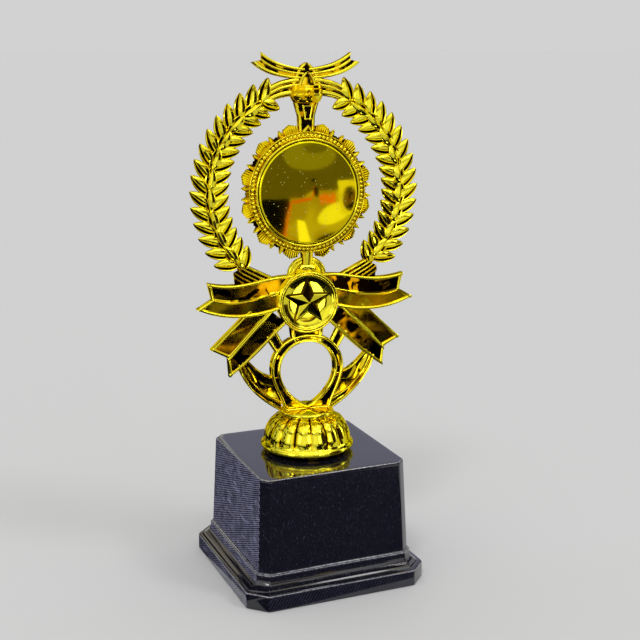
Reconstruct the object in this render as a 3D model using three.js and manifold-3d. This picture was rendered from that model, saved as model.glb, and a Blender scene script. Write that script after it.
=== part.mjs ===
// Star trophy: a gold laurel figure with a round centre disc and a star medallion, on a square black base.
// Millimetres, +Z up. The origin is the middle of the underside of the base and the front faces -Y.
// The figure turns about the upright stud that clamps it to the base.
import * as THREE from "three";
import { ConvexGeometry } from "three/addons/geometries/ConvexGeometry.js";
import { mergeVertices } from "three/addons/utils/BufferGeometryUtils.js";
import Module from "manifold-3d";

const wasm = await Module();
wasm.setup();

// Clearance between neighbouring pieces.
const GAP = 0.3;

// Base: half widths across the flats, measured from the middle.
const BASE_HEIGHT = 62.3;
const TOP_HALF = 37.8;
const TOP_CHAMFER = 4.2;
const BODY_FLARE = 1.9;
const CHAMFER_FLARE = 0.1;
const LEDGE = 1.2;
const FOOT_REACH = 6.1;
const FOOT_CHAMFER_FLARE = 4.4;
const FOOT_THICKNESS = 7.95;
const COVE_RISE = 5.8;
const LEDGE_RISE = 1.8;
const FOOT_EDGE = 0.5;
const TOP_EDGE = 0.6;
const WALL = 3;
const COVER_RECESS = 3;
const COVER_THICKNESS = 2;
const BALLAST_HEIGHT = 28;
const BALLAST_FIT = 1;
const BALLAST_BORE = 15;
const BOSS_RADIUS = 12;
const BOSS_DEPTH = 3;

// Clamp: stud, washer and nut.
const STUD_RADIUS = 3;
const STUD_IN_RISER = 14;
const STUD_PAST_NUT = 2;
const WASHER_RADIUS = 9;
const WASHER_THICKNESS = 1.6;
const NUT_FLATS = 10;
const NUT_THICKNESS = 5;

// Figure: turn against the base, and the riser that stands on it.
const FIGURE_TURN = -5;
const RISER_HEIGHT = 18.6;
const RISER_RADIUS = 22;
const RISER_RIM = 1.5;
const RISER_LOBES = 16;
const LOBE_DEPTH = 0.9;
const COLLAR_RADIUS = 13.4;
const COLLAR_THICKNESS = 2.4;

// Oval ring above the collar.
const RING_INNER = 13.9;
const RING_DROP = 20.4;
const RING_BAND_TOP = 4.1;
const RING_BAND_SIDE = 5;
const RING_FOOT_HALF = 11.5;
const RING_FOOT_BAR = 1.5;
const RING_FRONT = 2.2;
const RING_BACK = -2.2;

// Medallion, its star and the loop over it.
const LINK_HEIGHT = 1;
const LINK_HALF = 9.3;
const MEDAL_RADIUS = 15.5;
const MEDAL_RIM = 1.8;
const MEDAL_FRONT = 4;
const MEDAL_FLOOR = 1.2;
const MEDAL_BACK = -2.2;
const STAR_RADIUS = 12.8;
const STAR_INNER = 5.4;
const STAR_HEIGHT = 3.6;
const STAR_EDGE = 1.4;
const LOOP_HALF = 9.8;
const LOOP_RISE = 7;
const LOOP_BAND = 3.2;
const LOOP_FRONT = 1.3;

// Centre disc and its sunburst holder.
const DISC_RADIUS = 24.8;
const DISC_THICKNESS = 1.9;
const PAD_RADIUS = 22;
const PAD_THICKNESS = 1;
const LIP_WIDTH = 1.2;
const BEAD_WIDTH = 2.4;
const EDGE_WIDTH = 0.6;
const HOLDER_FLOOR = 0.6;
const HOLDER_BACK = -2.5;
const LIP_STAND = 0.4;
const CROWN_REACH = 4.2;
const CROWN_POINTS = 12;
const STEM_HEIGHT = 2.2;
const STEM_HALF = 3.2;

// Laurel wreath round the disc.
const WREATH_CLEAR = 4.9;
const INNER_LEAF = 9.9;
const OUTER_LEAF = 9.5;
const LEAVES = 15;
const RIDGE_LEAVES = 9;
const LEAF_WIDTH = 6;
const LEAF_THICKNESS = 3.8;
const LEAF_LEAN = 9;
const LEAF_DEPTH = 0.4;
const BRANCH_HALF = 2.6;
const RIDGE_LEAF_WIDTH = 5.8;
const RIDGE_LEAF_THICKNESS = 3.6;
const RIDGE_LEAF_DEPTH = 1.2;

// Angles along the wreath in degrees, clockwise from upright: each row's first tip and the step to the next.
const BRANCH_FROM = 21;
const BRANCH_TO = 138;
const OUTER_FIRST = 18.9;
const OUTER_STEP = 7.65;
const INNER_FIRST = 18.2;
const INNER_STEP = 7.97;
const RIDGE_FIRST = 27;
const RIDGE_STEP = 11.6;
const RIDGE_SPAN = 14;
// The inner leaves next to the torch are shorter by a lift that fades along the row.
const INNER_LIFT = 3.2;
const LIFT_FADE = 1.6;

// Torch over the disc, its cross bars and the crest ribbons.
const HANDLE_LENGTH = 12.6;
const HANDLE_HALF = 4;
const HANDLE_FRONT = 1.7;
const CUP_HEIGHT = 8.3;
const CUP_HALF = 8.3;
const CUP_DEPTH_RATIO = 0.6;
const FLAME_HEIGHT = 10.4;
const FLAME_HALF = 7.2;

// Ribbons: raised border round the sunk faces.
const BORDER = 1.3;
const SUNK = 0.9;

// Heights above the base, each from the piece below it.
const COLLAR_TOP = RISER_HEIGHT + GAP + COLLAR_THICKNESS;
const RING_CENTRE = COLLAR_TOP + RING_DROP;
const RING_TOP = RING_CENTRE + RING_INNER + RING_BAND_TOP;
const MEDAL_CENTRE = RING_TOP + LINK_HEIGHT + MEDAL_RADIUS;
const LOOP_TOP = MEDAL_CENTRE + MEDAL_RADIUS + LOOP_RISE;
const LIP_RADIUS = DISC_RADIUS + GAP + LIP_WIDTH;
const HOLDER_RADIUS = LIP_RADIUS + BEAD_WIDTH + EDGE_WIDTH;
const CROWN_RADIUS = HOLDER_RADIUS + CROWN_REACH;
const DISC_CENTRE = LOOP_TOP + STEM_HEIGHT + HOLDER_RADIUS;
const LEAF_INNER_RADIUS = CROWN_RADIUS + WREATH_CLEAR;
const BRANCH_RADIUS = LEAF_INNER_RADIUS + INNER_LEAF;
const HANDLE_FOOT = HOLDER_RADIUS + GAP;
const CUP_FOOT = HANDLE_FOOT + HANDLE_LENGTH + GAP;
const FLAME_FOOT = CUP_FOOT + CUP_HEIGHT + GAP;
const NUT_TOP = -WALL - BOSS_DEPTH - WASHER_THICKNESS - 2 * GAP;
const THROUGH = 20;

const v2 = (x, y) => new THREE.Vector2(x, y);
const RING = v2(0, RING_CENTRE);
const MEDAL = v2(0, MEDAL_CENTRE);
const DISC = v2(0, DISC_CENTRE);
const COLLAR = v2(0, COLLAR_TOP);
const AXIS = v2(0, 0);

const finish = (color, roughness, metalness) =>
  new THREE.MeshStandardMaterial({ color, roughness, metalness, flatShading: true });
const gold = finish(0xded614, 0.12, 1);
const goldFoil = finish(0xcfc61c, 0.06, 1);
const black = finish(0x17171f, 0.22, 0);
const plaster = finish(0xb5b1a6, 0.9, 0);
const card = finish(0x1c1b1a, 0.85, 0);
const steel = finish(0xb9bcc0, 0.35, 1);
const foam = finish(0xe8e6e0, 0.95, 0);

// A closed geometry as a solid that can be cut and joined.
function solid(geometry) {
  const bare = geometry.index ? geometry.toNonIndexed() : geometry.clone();
  bare.deleteAttribute("normal");
  bare.deleteAttribute("uv");
  const merged = mergeVertices(bare, 1e-4);
  const corners = merged.index.array;
  const kept = [];
  for (let i = 0; i < corners.length; i += 3) {
    const [a, b, c] = [corners[i], corners[i + 1], corners[i + 2]];
    if (a !== b && b !== c && c !== a) kept.push(a, b, c);
  }
  const vertProperties = merged.attributes.position.array;
  return new wasm.Manifold(new wasm.Mesh({ numProp: 3, vertProperties, triVerts: new Uint32Array(kept) }));
}

// A named mesh of a solid, placed at its own reference point in the figure's plane.
function piece(name, body, material, anchor = AXIS) {
  const mesh = body.getMesh();
  const geometry = new THREE.BufferGeometry();
  geometry.setAttribute("position", new THREE.BufferAttribute(mesh.vertProperties, 3));
  geometry.setIndex(new THREE.BufferAttribute(mesh.triVerts, 1));
  geometry.translate(-anchor.x, -anchor.y, 0);
  geometry.computeVertexNormals();
  const placed = new THREE.Mesh(geometry, material);
  placed.name = name;
  placed.position.set(anchor.x, anchor.y, 0);
  return placed;
}

const at = (anchor, x, y) => v2(anchor.x + x, anchor.y + y);
const polar = (anchor, radius, degrees) => {
  const turn = THREE.MathUtils.degToRad(degrees);
  return at(anchor, radius * Math.sin(turn), radius * Math.cos(turn));
};
const bezier = (a, b, c, d, steps = 8) => new THREE.CubicBezierCurve(a, b, c, d).getPoints(steps);
const mirrored = (points) => points.map((p) => v2(-p.x, p.y)).reverse();

// The outline moved outwards by a distance, or inwards by a negative one.
function grown(points, distance) {
  const sign = THREE.ShapeUtils.isClockWise(points) ? -1 : 1;
  const normal = (from, to) => v2(to.y - from.y, from.x - to.x).normalize().multiplyScalar(sign);
  return points.map((p, i) => {
    const before = normal(points[(i + points.length - 1) % points.length], p);
    const after = normal(p, points[(i + 1) % points.length]);
    const middle = before.clone().add(after).normalize();
    return p.clone().addScaledVector(middle, distance / Math.max(middle.dot(before), 0.3));
  });
}

// A flat plate of an outline between two depths; depth grows towards the front.
function plate(points, low, high) {
  const geometry = new THREE.ExtrudeGeometry(new THREE.Shape(points), { depth: high - low, bevelEnabled: false });
  return solid(geometry.translate(0, 0, low));
}

const through = (points) => plate(points, -THROUGH, THROUGH);

// A lathe of [radius, height] pairs about the upright axis, ordered so that its faces point outwards.
function lathe(profile, segments) {
  const points = profile.map(([r, h]) => v2(r, h));
  if (THREE.ShapeUtils.isClockWise(points)) points.reverse();
  return new THREE.LatheGeometry(points, segments);
}

const turned = (profile, segments) => solid(lathe(profile, segments));

// A turned piece about the front-to-back axis, from [radius, depth] pairs, at an anchor.
function faced(profile, segments, anchor) {
  return solid(lathe(profile, segments).rotateX(Math.PI / 2).translate(anchor.x, anchor.y, 0));
}

function drum(radius, low, high, anchor) {
  return faced([[0, low], [radius, low], [radius, high], [0, high]], 40, anchor);
}

function cylinder(radius, low, high, segments = 24) {
  const geometry = new THREE.CylinderGeometry(radius, radius, high - low, segments);
  return solid(geometry.translate(0, (low + high) / 2, 0));
}

// ---- Base, drawn with Z up ----

// Half widths of the base at its top, waist and foot, across the flats and across the chamfered corners.
const ACROSS = {
  top: TOP_HALF,
  waist: TOP_HALF + BODY_FLARE,
  foot: TOP_HALF + BODY_FLARE + LEDGE + FOOT_REACH,
};
const cornerHalf = (half, chamfer) => (2 * half - chamfer) / Math.SQRT2;
const CORNERS = {
  top: cornerHalf(ACROSS.top, TOP_CHAMFER),
  waist: cornerHalf(ACROSS.waist, TOP_CHAMFER + CHAMFER_FLARE),
  foot: cornerHalf(ACROSS.foot, TOP_CHAMFER + CHAMFER_FLARE + FOOT_CHAMFER_FLARE),
};
const COVE_FOOT = FOOT_THICKNESS + FOOT_EDGE;
const WAIST_HEIGHT = COVE_FOOT + COVE_RISE + LEDGE_RISE;

// The outside of the base: foot, hollow cove, small ledge and tapered body.
function outsideOutline({ top, waist, foot }) {
  const cove = new THREE.EllipseCurve(
    foot - FOOT_EDGE, COVE_FOOT + COVE_RISE, foot - FOOT_EDGE - waist - LEDGE, COVE_RISE,
    -Math.PI / 2, -Math.PI, true,
  ).getPoints(6);
  const right = [
    v2(foot, 0),
    v2(foot, FOOT_THICKNESS),
    ...cove,
    v2(waist + LEDGE, WAIST_HEIGHT - LEDGE / 2),
    v2(waist + LEDGE / 2, WAIST_HEIGHT),
    v2(waist, WAIST_HEIGHT),
    v2(top, BASE_HEIGHT - TOP_EDGE),
    v2(top - TOP_EDGE, BASE_HEIGHT),
  ];
  return [...right, ...mirrored(right)];
}

// The hollow of the base, a wall inside its outline, with a wider recess below for the cover.
function hollowOutline({ top, waist, foot }, inset) {
  const right = [
    v2(foot - WALL - inset, -1),
    v2(foot - WALL - inset, COVER_RECESS),
    v2(waist - WALL - inset, COVER_RECESS),
    v2(waist - WALL - inset, WAIST_HEIGHT),
    v2(top - WALL - inset, BASE_HEIGHT - WALL),
  ];
  return [...right, ...mirrored(right)];
}

// The solid whose outline is one shape across both flats and another across both diagonals.
function squareSolid(flats, diagonals) {
  const reach = 4 * ACROSS.foot;
  const prism = (outline, degrees) => {
    const bar = new THREE.ExtrudeGeometry(new THREE.Shape(outline), { depth: reach, bevelEnabled: false });
    bar.translate(0, 0, -reach / 2).rotateX(Math.PI / 2).rotateZ(THREE.MathUtils.degToRad(degrees));
    return solid(bar);
  };
  const across = prism(flats, 0).intersect(prism(flats, 90));
  return across.intersect(prism(diagonals, 45)).intersect(prism(diagonals, 135));
}

function layer(low, high) {
  const span = 4 * ACROSS.foot;
  return solid(new THREE.BoxGeometry(span, span, high - low).translate(0, 0, (low + high) / 2));
}

function upright(radius, low, high) {
  const geometry = new THREE.CylinderGeometry(radius, radius, high - low, 32).rotateX(Math.PI / 2);
  return solid(geometry.translate(0, 0, (low + high) / 2));
}

function baseGroup() {
  const group = new THREE.Group();
  const hollow = (inset) => squareSolid(hollowOutline(ACROSS, inset), hollowOutline(CORNERS, inset));
  const inside = BASE_HEIGHT - WALL;
  const shell = squareSolid(outsideOutline(ACROSS), outsideOutline(CORNERS))
    .subtract(hollow(0))
    .add(upright(BOSS_RADIUS, inside - BOSS_DEPTH, inside + 1))
    .subtract(upright(STUD_RADIUS + GAP, inside - BOSS_DEPTH - 1, BASE_HEIGHT + 1));
  group.add(piece("base_shell", shell, black));

  const coverTop = COVER_RECESS - GAP;
  const cover = hollow(GAP).intersect(layer(coverTop - COVER_THICKNESS, coverTop));
  group.add(piece("base_cover", cover, card));

  const ballast = hollow(BALLAST_FIT)
    .intersect(layer(COVER_RECESS, COVER_RECESS + BALLAST_HEIGHT))
    .subtract(upright(BALLAST_BORE, 0, BASE_HEIGHT));
  group.add(piece("ballast_block", ballast, plaster));
  return group;
}

// ---- Riser and clamp, turned about the upright axis ----

function riser() {
  const lobed = [
    [RISER_RADIUS, 5.2],
    [RISER_RADIUS - 0.3, 9.4],
    [RISER_RADIUS - 2, 13.6],
    [RISER_RADIUS - 4.4, 16.5],
    [RISER_RADIUS - 7, RISER_HEIGHT - 0.8],
  ];
  const profile = [
    [0, STUD_IN_RISER + GAP],
    [STUD_RADIUS + GAP, STUD_IN_RISER + GAP],
    [STUD_RADIUS + GAP, GAP],
    [RISER_RADIUS - 1, GAP],
    [RISER_RADIUS - 0.7, 1.7],
    [RISER_RADIUS + RISER_RIM - 0.8, 2],
    [RISER_RADIUS + RISER_RIM, 2.9],
    [RISER_RADIUS + RISER_RIM, 3.9],
    [RISER_RADIUS + 0.7, 4.7],
    ...lobed,
    [COLLAR_RADIUS - 0.2, RISER_HEIGHT],
    [0, RISER_HEIGHT],
  ];
  const dome = lathe(profile, 3 * RISER_LOBES);
  const position = dome.getAttribute("position");
  const lowest = lobed[0][1];
  const highest = lobed[lobed.length - 1][1];
  for (let i = 0; i < position.count; i += 1) {
    const [x, y, z] = [position.getX(i), position.getY(i), position.getZ(i)];
    const radius = Math.hypot(x, z);
    if (y < lowest - 0.01 || y > highest + 0.01 || radius < COLLAR_RADIUS) continue;
    const valley = 1 - Math.abs(Math.cos((RISER_LOBES / 2) * Math.atan2(x, z)));
    const scale = 1 - (LOBE_DEPTH * valley) / radius;
    position.setXYZ(i, x * scale, y, z * scale);
  }
  return solid(dome);
}

function collar() {
  const foot = RISER_HEIGHT + GAP;
  return turned([
    [0, foot],
    [COLLAR_RADIUS - 1.4, foot],
    [COLLAR_RADIUS, foot + 0.8],
    [COLLAR_RADIUS, COLLAR_TOP - 0.3],
    [COLLAR_RADIUS - 0.3, COLLAR_TOP],
    [0, COLLAR_TOP],
  ], 40);
}

function clampPieces() {
  const nutFoot = NUT_TOP - NUT_THICKNESS;
  const stud = cylinder(STUD_RADIUS, nutFoot - STUD_PAST_NUT, STUD_IN_RISER);
  const bore = cylinder(STUD_RADIUS + GAP, nutFoot - 1, 0);
  const washerTop = -WALL - BOSS_DEPTH - GAP;
  const washer = cylinder(WASHER_RADIUS, washerTop - WASHER_THICKNESS, washerTop).subtract(bore);
  const hexagon = NUT_FLATS / 2 / Math.cos(Math.PI / 6);
  const nut = cylinder(hexagon, nutFoot, NUT_TOP, 6).subtract(bore);
  return [
    piece("clamp_stud", stud, steel),
    piece("clamp_washer", washer, steel),
    piece("clamp_nut", nut, steel),
  ];
}

// ---- Outlines in the figure's plane, right-hand side; x is sideways and y is up ----

function ringOuter() {
  const side = RING_INNER + RING_BAND_SIDE;
  const top = RING_INNER + RING_BAND_TOP;
  const shoulder = at(RING, side, 1);
  const upper = bezier(at(RING, 0, top), at(RING, 0.58 * side, top), at(RING, side, 0.6 * top), shoulder);
  const foot = at(COLLAR, RING_FOOT_HALF, -1);
  const lower = bezier(shoulder, at(RING, side, -8), at(COLLAR, RING_FOOT_HALF + 1.5, 6.4), foot);
  const right = [...upper, ...lower.slice(1)];
  return [...right, ...mirrored(right).slice(0, -1)];
}

function ringInner() {
  const quarter = Math.PI / 2;
  const arc = new THREE.EllipseCurve(RING.x, RING.y, RING_INNER, RING_INNER, quarter, 0, true).getPoints(8);
  const foot = at(COLLAR, 0, RING_FOOT_BAR);
  const lower = bezier(at(RING, RING_INNER, 0), at(RING, RING_INNER, -8), at(COLLAR, 7, 4.9), foot);
  const right = [...arc, ...lower.slice(1)];
  return [...right, ...mirrored(right).slice(1, -1)];
}

const WING_TOP = bezier(
  at(MEDAL, 6, MEDAL_RADIUS - 1.8),
  at(MEDAL, 24, MEDAL_RADIUS - 1),
  at(MEDAL, 32, 7.5),
  at(MEDAL, 50.1, 12.1),
);
const WING_NOTCH = at(MEDAL, 48.2, 3.8);
const WING_FOOT = bezier(at(MEDAL, 55.6, -0.6), at(MEDAL, 44, -6.5), at(MEDAL, 30, -8), at(MEDAL, 14, -3.2));
const WING_RIDGE = bezier(WING_NOTCH, at(MEDAL, 39, 0.2), at(MEDAL, 30, 1.4), at(MEDAL, 13, 6.3));
const wingOutline = () => [...WING_TOP, WING_NOTCH, ...WING_FOOT];

const TAIL_ROOT = at(MEDAL, 12, -3);
const TAIL_HEEL = at(MEDAL, 39.3, -36);
const TAIL_FOOT = bezier(at(MEDAL, 10.5, -10.5), at(MEDAL, 17, -15.5), at(MEDAL, 24, -25), TAIL_HEEL);
const TAIL_END = [at(MEDAL, 40.6, -35.3), at(MEDAL, 40.6, -25.9)];
const TAIL_TIP = [at(MEDAL, 48.4, -22.2), at(MEDAL, 49.1, -21.2)];
const TAIL_SHOULDER = at(MEDAL, 30, -3.2);
const TAIL_DIVIDER = at(MEDAL, 19, -3.2);
const TAIL_INNER_CORNER = at(MEDAL, 40.6, -36.8);
const tailOutline = () => [...TAIL_FOOT, ...TAIL_END, ...TAIL_TIP, TAIL_SHOULDER, TAIL_ROOT];

function crescentOutline() {
  const foot = at(COLLAR, 12.5, -1.4);
  const tip = at(MEDAL, 31.2, -26.6);
  const outer = bezier(at(MEDAL, 35.8, -30), at(MEDAL, 32, -43), at(COLLAR, 22.5, 4.4), foot);
  const inner = bezier(at(RING, 15, -3.2), at(RING, 22.5, -2), at(MEDAL, 26, -33), tip);
  return [...outer, ...inner];
}

const strutOutline = () => [
  at(MEDAL, 16.2, -12.6),
  at(MEDAL, 21.4, -17.2),
  at(RING, 16, 8.7),
  at(RING, 11.9, 13.3),
];

const stalkOutline = () => [
  polar(DISC, BRANCH_RADIUS - 2.6, 139),
  polar(DISC, BRANCH_RADIUS + 4.6, 136),
  at(MEDAL, 36, 9),
  at(MEDAL, 29, 8),
  at(MEDAL, 16.5, 12.8),
];

const barOutline = () => [
  ...bezier(at(DISC, 4, FLAME_FOOT + 3.2), at(DISC, 9, FLAME_FOOT + 3), at(DISC, 14, FLAME_FOOT + 2),
    polar(DISC, BRANCH_RADIUS + 5.2, 20.4), 5),
  ...bezier(polar(DISC, BRANCH_RADIUS - 2, 24.2), at(DISC, 15, CUP_FOOT + 2.4), at(DISC, 9, CUP_FOOT + 3.3),
    at(DISC, 4, CUP_FOOT + 3.3), 5),
];

const crestOutline = () => [
  ...bezier(at(DISC, 1, FLAME_FOOT + 7.6), at(DISC, 9, FLAME_FOOT + 8.6), at(DISC, 15, FLAME_FOOT + 9.6),
    at(DISC, 21.9, FLAME_FOOT + 15)),
  at(DISC, 21.8, FLAME_FOOT + 11.4),
  ...bezier(at(DISC, 26.8, FLAME_FOOT + 10.4), at(DISC, 20, FLAME_FOOT + 4.2), at(DISC, 12, FLAME_FOOT + 2.9),
    at(DISC, 2, FLAME_FOOT + 2.4)),
];

function flameOutline() {
  const right = bezier(at(DISC, 0, FLAME_FOOT + FLAME_HEIGHT), at(DISC, 4, FLAME_FOOT + FLAME_HEIGHT - 1.5),
    at(DISC, FLAME_HALF - 1.5, FLAME_FOOT + 5), at(DISC, FLAME_HALF, FLAME_FOOT), 6);
  return [...right, ...mirrored(right).slice(0, -1)];
}

const cupProfile = (clear) => [
  [0, CUP_FOOT - clear],
  [CUP_HALF - 2.1 + clear, CUP_FOOT - clear],
  [CUP_HALF - 1.1 + clear, CUP_FOOT + 1.2],
  [CUP_HALF - 0.2 + clear, CUP_FOOT + 3.4],
  [CUP_HALF + clear, CUP_FOOT + 5],
  [CUP_HALF + clear, CUP_FOOT + 6.2],
  [CUP_HALF - 0.5 + clear, CUP_FOOT + 7],
  [CUP_HALF - 0.5 + clear, CUP_FOOT + CUP_HEIGHT + clear],
  [0, CUP_FOOT + CUP_HEIGHT + clear],
];

function cupSolid(clear) {
  const cup = lathe(cupProfile(clear), 28).scale(1, 1, CUP_DEPTH_RATIO);
  return solid(cup.translate(DISC.x, DISC.y, 0));
}

// The oval behind the medallion that shows above it as a loop, moved inwards by an inset.
function loopOval(inset) {
  const hidden = 2;
  const rise = LOOP_RISE + hidden - inset;
  const centre = MEDAL.y + MEDAL_RADIUS - hidden;
  const oval = new THREE.EllipseCurve(MEDAL.x, centre, LOOP_HALF - inset, rise, 0, 2 * Math.PI);
  return oval.getPoints(32).slice(0, -1);
}

const medalCutter = () => drum(MEDAL_RADIUS + GAP, -THROUGH, THROUGH, MEDAL);

const collarCutter = () => cylinder(COLLAR_RADIUS + GAP, 0, COLLAR_TOP + GAP, 40);

// ---- Pieces on the middle line ----

function ringSolid() {
  const outer = ringOuter();
  const inner = ringInner();
  const channel = plate(grown(outer, -BORDER), RING_FRONT - SUNK, THROUGH)
    .subtract(through(grown(inner, BORDER)));
  return plate(outer, RING_BACK, RING_FRONT)
    .subtract(through(inner))
    .subtract(channel)
    .subtract(collarCutter());
}

function linkSolid() {
  const right = [at(RING, LINK_HALF - 1.5, RING_INNER), at(MEDAL, LINK_HALF, -8)];
  return plate([...right, ...mirrored(right)], MEDAL_BACK, 1.5)
    .subtract(medalCutter())
    .subtract(through(grown(ringOuter(), GAP)));
}

// The dish's front, from its middle out to the rim, lifted by a clearance.
function dishFront(clear) {
  const inner = MEDAL_RADIUS - MEDAL_RIM;
  return [
    [0, MEDAL_FLOOR + clear],
    [inner - 6, MEDAL_FLOOR + clear],
    [inner - 2.5, MEDAL_FLOOR + 0.6 + clear],
    [inner - clear, MEDAL_FLOOR + 1.8 + clear],
  ];
}

function medalSolid() {
  const inner = MEDAL_RADIUS - MEDAL_RIM;
  return faced([
    ...dishFront(0),
    [inner, MEDAL_FRONT - 0.4],
    [inner + 0.5, MEDAL_FRONT],
    [MEDAL_RADIUS - 0.5, MEDAL_FRONT],
    [MEDAL_RADIUS, MEDAL_FRONT - 0.6],
    [MEDAL_RADIUS, MEDAL_BACK],
    [0, MEDAL_BACK],
  ], 40, MEDAL);
}

// A five-pointed star with ridges to its points and valleys between, standing on the dish.
function starSolid() {
  const bed = dishFront(GAP);
  const rimEdge = bed[bed.length - 1][0];
  const hollow = faced([...bed, [rimEdge, THROUGH], [0, THROUGH]], 40, MEDAL);
  const point = (k) => polar(MEDAL, k % 2 ? STAR_INNER : STAR_RADIUS, 36 * k);
  const outline = Array.from({ length: 10 }, (_, k) => point(k));
  let star = plate(outline, MEDAL_FLOOR, MEDAL_FLOOR + STAR_EDGE + GAP);
  for (let k = 0; k < 10; k += 1) {
    const corner = (p, depth) => new THREE.Vector3(p.x, p.y, depth);
    const low = MEDAL_FLOOR + STAR_EDGE;
    const apex = corner(MEDAL, MEDAL_FLOOR + STAR_HEIGHT);
    const foot = [corner(MEDAL, low), corner(point(k), low), corner(point(k + 1), low)];
    star = star.add(solid(new ConvexGeometry([...foot, apex])));
  }
  return star.intersect(hollow);
}

function loopSolid() {
  const sunk = plate(loopOval(LOOP_BAND), LOOP_FRONT - SUNK, THROUGH);
  const wing = grown(wingOutline(), GAP);
  return plate(loopOval(0), -1.5, LOOP_FRONT)
    .subtract(sunk)
    .subtract(medalCutter())
    .subtract(through(wing))
    .subtract(through(mirrored(wing)));
}

// One repeat of the crown, a fan between two spikes: [step in thirtieths of the repeat, share of the reach].
const CROWN_STEPS = [
  [-15, 0.15],
  [-12.2, 0.2],
  [-9.5, 1],
  [-8, 0.3],
  [-6.8, 0.75],
  [0, 1],
  [6.8, 0.75],
  [8, 0.3],
  [9.5, 1],
  [12.2, 0.2],
];

// The crown is almost flat behind the torch and the stem, where it would run into them.
function crownOutline() {
  const repeat = 360 / CROWN_POINTS;
  const clearAngle = 8;
  const clearShare = 0.15;
  const points = [];
  for (let k = 0; k < CROWN_POINTS; k += 1) {
    for (const [step, share] of CROWN_STEPS) {
      const angle = (k + 0.5) * repeat + (step * repeat) / 30;
      const fromUpright = Math.abs(((angle + 90) % 180) - 90);
      const reach = fromUpright < clearAngle ? clearShare : share;
      points.push(polar(DISC, HOLDER_RADIUS + CROWN_REACH * reach, angle));
    }
  }
  return points;
}

function holderSolid() {
  const recess = DISC_RADIUS + GAP;
  const lipTop = HOLDER_FLOOR + PAD_THICKNESS + DISC_THICKNESS + 2 * GAP + LIP_STAND;
  const body = faced([
    [0, HOLDER_FLOOR],
    [recess, HOLDER_FLOOR],
    [recess, lipTop - 0.3],
    [recess + 0.4, lipTop],
    [LIP_RADIUS, lipTop - 0.4],
    [LIP_RADIUS, 1.9],
    [HOLDER_RADIUS, 1.9],
    [HOLDER_RADIUS, HOLDER_BACK],
    [0, HOLDER_BACK],
  ], 48, DISC);
  const crown = plate(crownOutline(), -0.6, 1.6).subtract(drum(LIP_RADIUS, -THROUGH, THROUGH, DISC));
  const triangle = (half, rise) => [
    at(DISC, -half, HOLDER_RADIUS - 2),
    at(DISC, half, HOLDER_RADIUS - 2),
    at(DISC, 0, HOLDER_RADIUS + rise),
  ];
  const spike = plate(triangle(3, 3.4), HANDLE_FRONT + GAP, HANDLE_FRONT + 2);
  const spikeFoot = plate(triangle(2, -0.3), 1, HANDLE_FRONT + 0.5);
  return body.add(crown).add(spike).add(spikeFoot);
}

function stemSolid() {
  const top = -HOLDER_RADIUS - GAP;
  const outline = [
    at(DISC, STEM_HALF, top),
    at(DISC, -STEM_HALF, top),
    at(DISC, 0.6 - STEM_HALF, top - 6),
    at(DISC, STEM_HALF - 0.6, top - 6),
  ];
  const loopSpace = plate(grown(loopOval(0), GAP), -THROUGH, LOOP_FRONT + GAP);
  const ringSpace = drum(HOLDER_RADIUS + GAP, -THROUGH, THROUGH, DISC);
  const crownSpace = through(grown(crownOutline(), GAP));
  return plate(outline, -1, 3).subtract(loopSpace).subtract(ringSpace).subtract(crownSpace);
}

function handleSolid() {
  const top = HANDLE_FOOT + HANDLE_LENGTH;
  const right = [
    at(DISC, HANDLE_HALF, HANDLE_FOOT),
    at(DISC, HANDLE_HALF + 0.2, HANDLE_FOOT + 6.8),
    at(DISC, HANDLE_HALF + 2.1, top),
  ];
  const panel = [at(DISC, 1.6, HANDLE_FOOT + 5), at(DISC, 2.8, top - 0.6)];
  const crownSpace = through(grown(crownOutline(), GAP));
  return plate([...right, ...mirrored(right)], -2, HANDLE_FRONT)
    .subtract(crownSpace)
    .add(plate([...panel, ...mirrored(panel)], HANDLE_FRONT - 0.1, HANDLE_FRONT + 1.1));
}

function flameSolid() {
  const inner = [
    at(DISC, 4, FLAME_FOOT),
    at(DISC, 2.4, FLAME_FOOT + 4.4),
    at(DISC, 0, FLAME_FOOT + 7.4),
    at(DISC, -2.4, FLAME_FOOT + 4.4),
    at(DISC, -4, FLAME_FOOT),
  ];
  return plate(flameOutline(), -1.6, 1.4).add(plate(inner, 1.3, 3));
}

// ---- Side pieces, built on the right and mirrored for the left ----

// A plate with each of its faces sunk inside a raised border.
function bordered(outline, faces, back, front) {
  let body = plate(outline, back, front);
  for (const face of faces) body = body.subtract(plate(grown(face, -BORDER), front - SUNK, THROUGH));
  return body;
}

function wingSolid() {
  const upper = [...WING_TOP, ...WING_RIDGE];
  const lower = [...WING_RIDGE.toReversed(), ...WING_FOOT];
  return bordered(wingOutline(), [upper, lower], -1.5, 2.4).subtract(medalCutter());
}

function tailSolid() {
  const inner = [...TAIL_FOOT.slice(0, -1), TAIL_INNER_CORNER, TAIL_END[1], TAIL_DIVIDER, TAIL_ROOT];
  const outer = [TAIL_END[1], TAIL_TIP[1], TAIL_SHOULDER, TAIL_DIVIDER];
  return bordered(tailOutline(), [inner, outer], -2.2, 1.7)
    .subtract(through(grown(wingOutline(), GAP)))
    .subtract(medalCutter());
}

function crescentSolid() {
  const outline = crescentOutline();
  return bordered(outline, [outline], -2, 1.7)
    .subtract(through(grown(tailOutline(), GAP)))
    .subtract(through(grown(ringOuter(), GAP)))
    .subtract(collarCutter());
}

function strutSolid() {
  return plate(strutOutline(), -1.5, 1)
    .subtract(through(grown(tailOutline(), GAP)))
    .subtract(through(grown(ringOuter(), GAP)))
    .subtract(medalCutter());
}

const stalkSolid = () => plate(stalkOutline(), -1.5, 1.6).subtract(through(grown(wingOutline(), GAP)));

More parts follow.
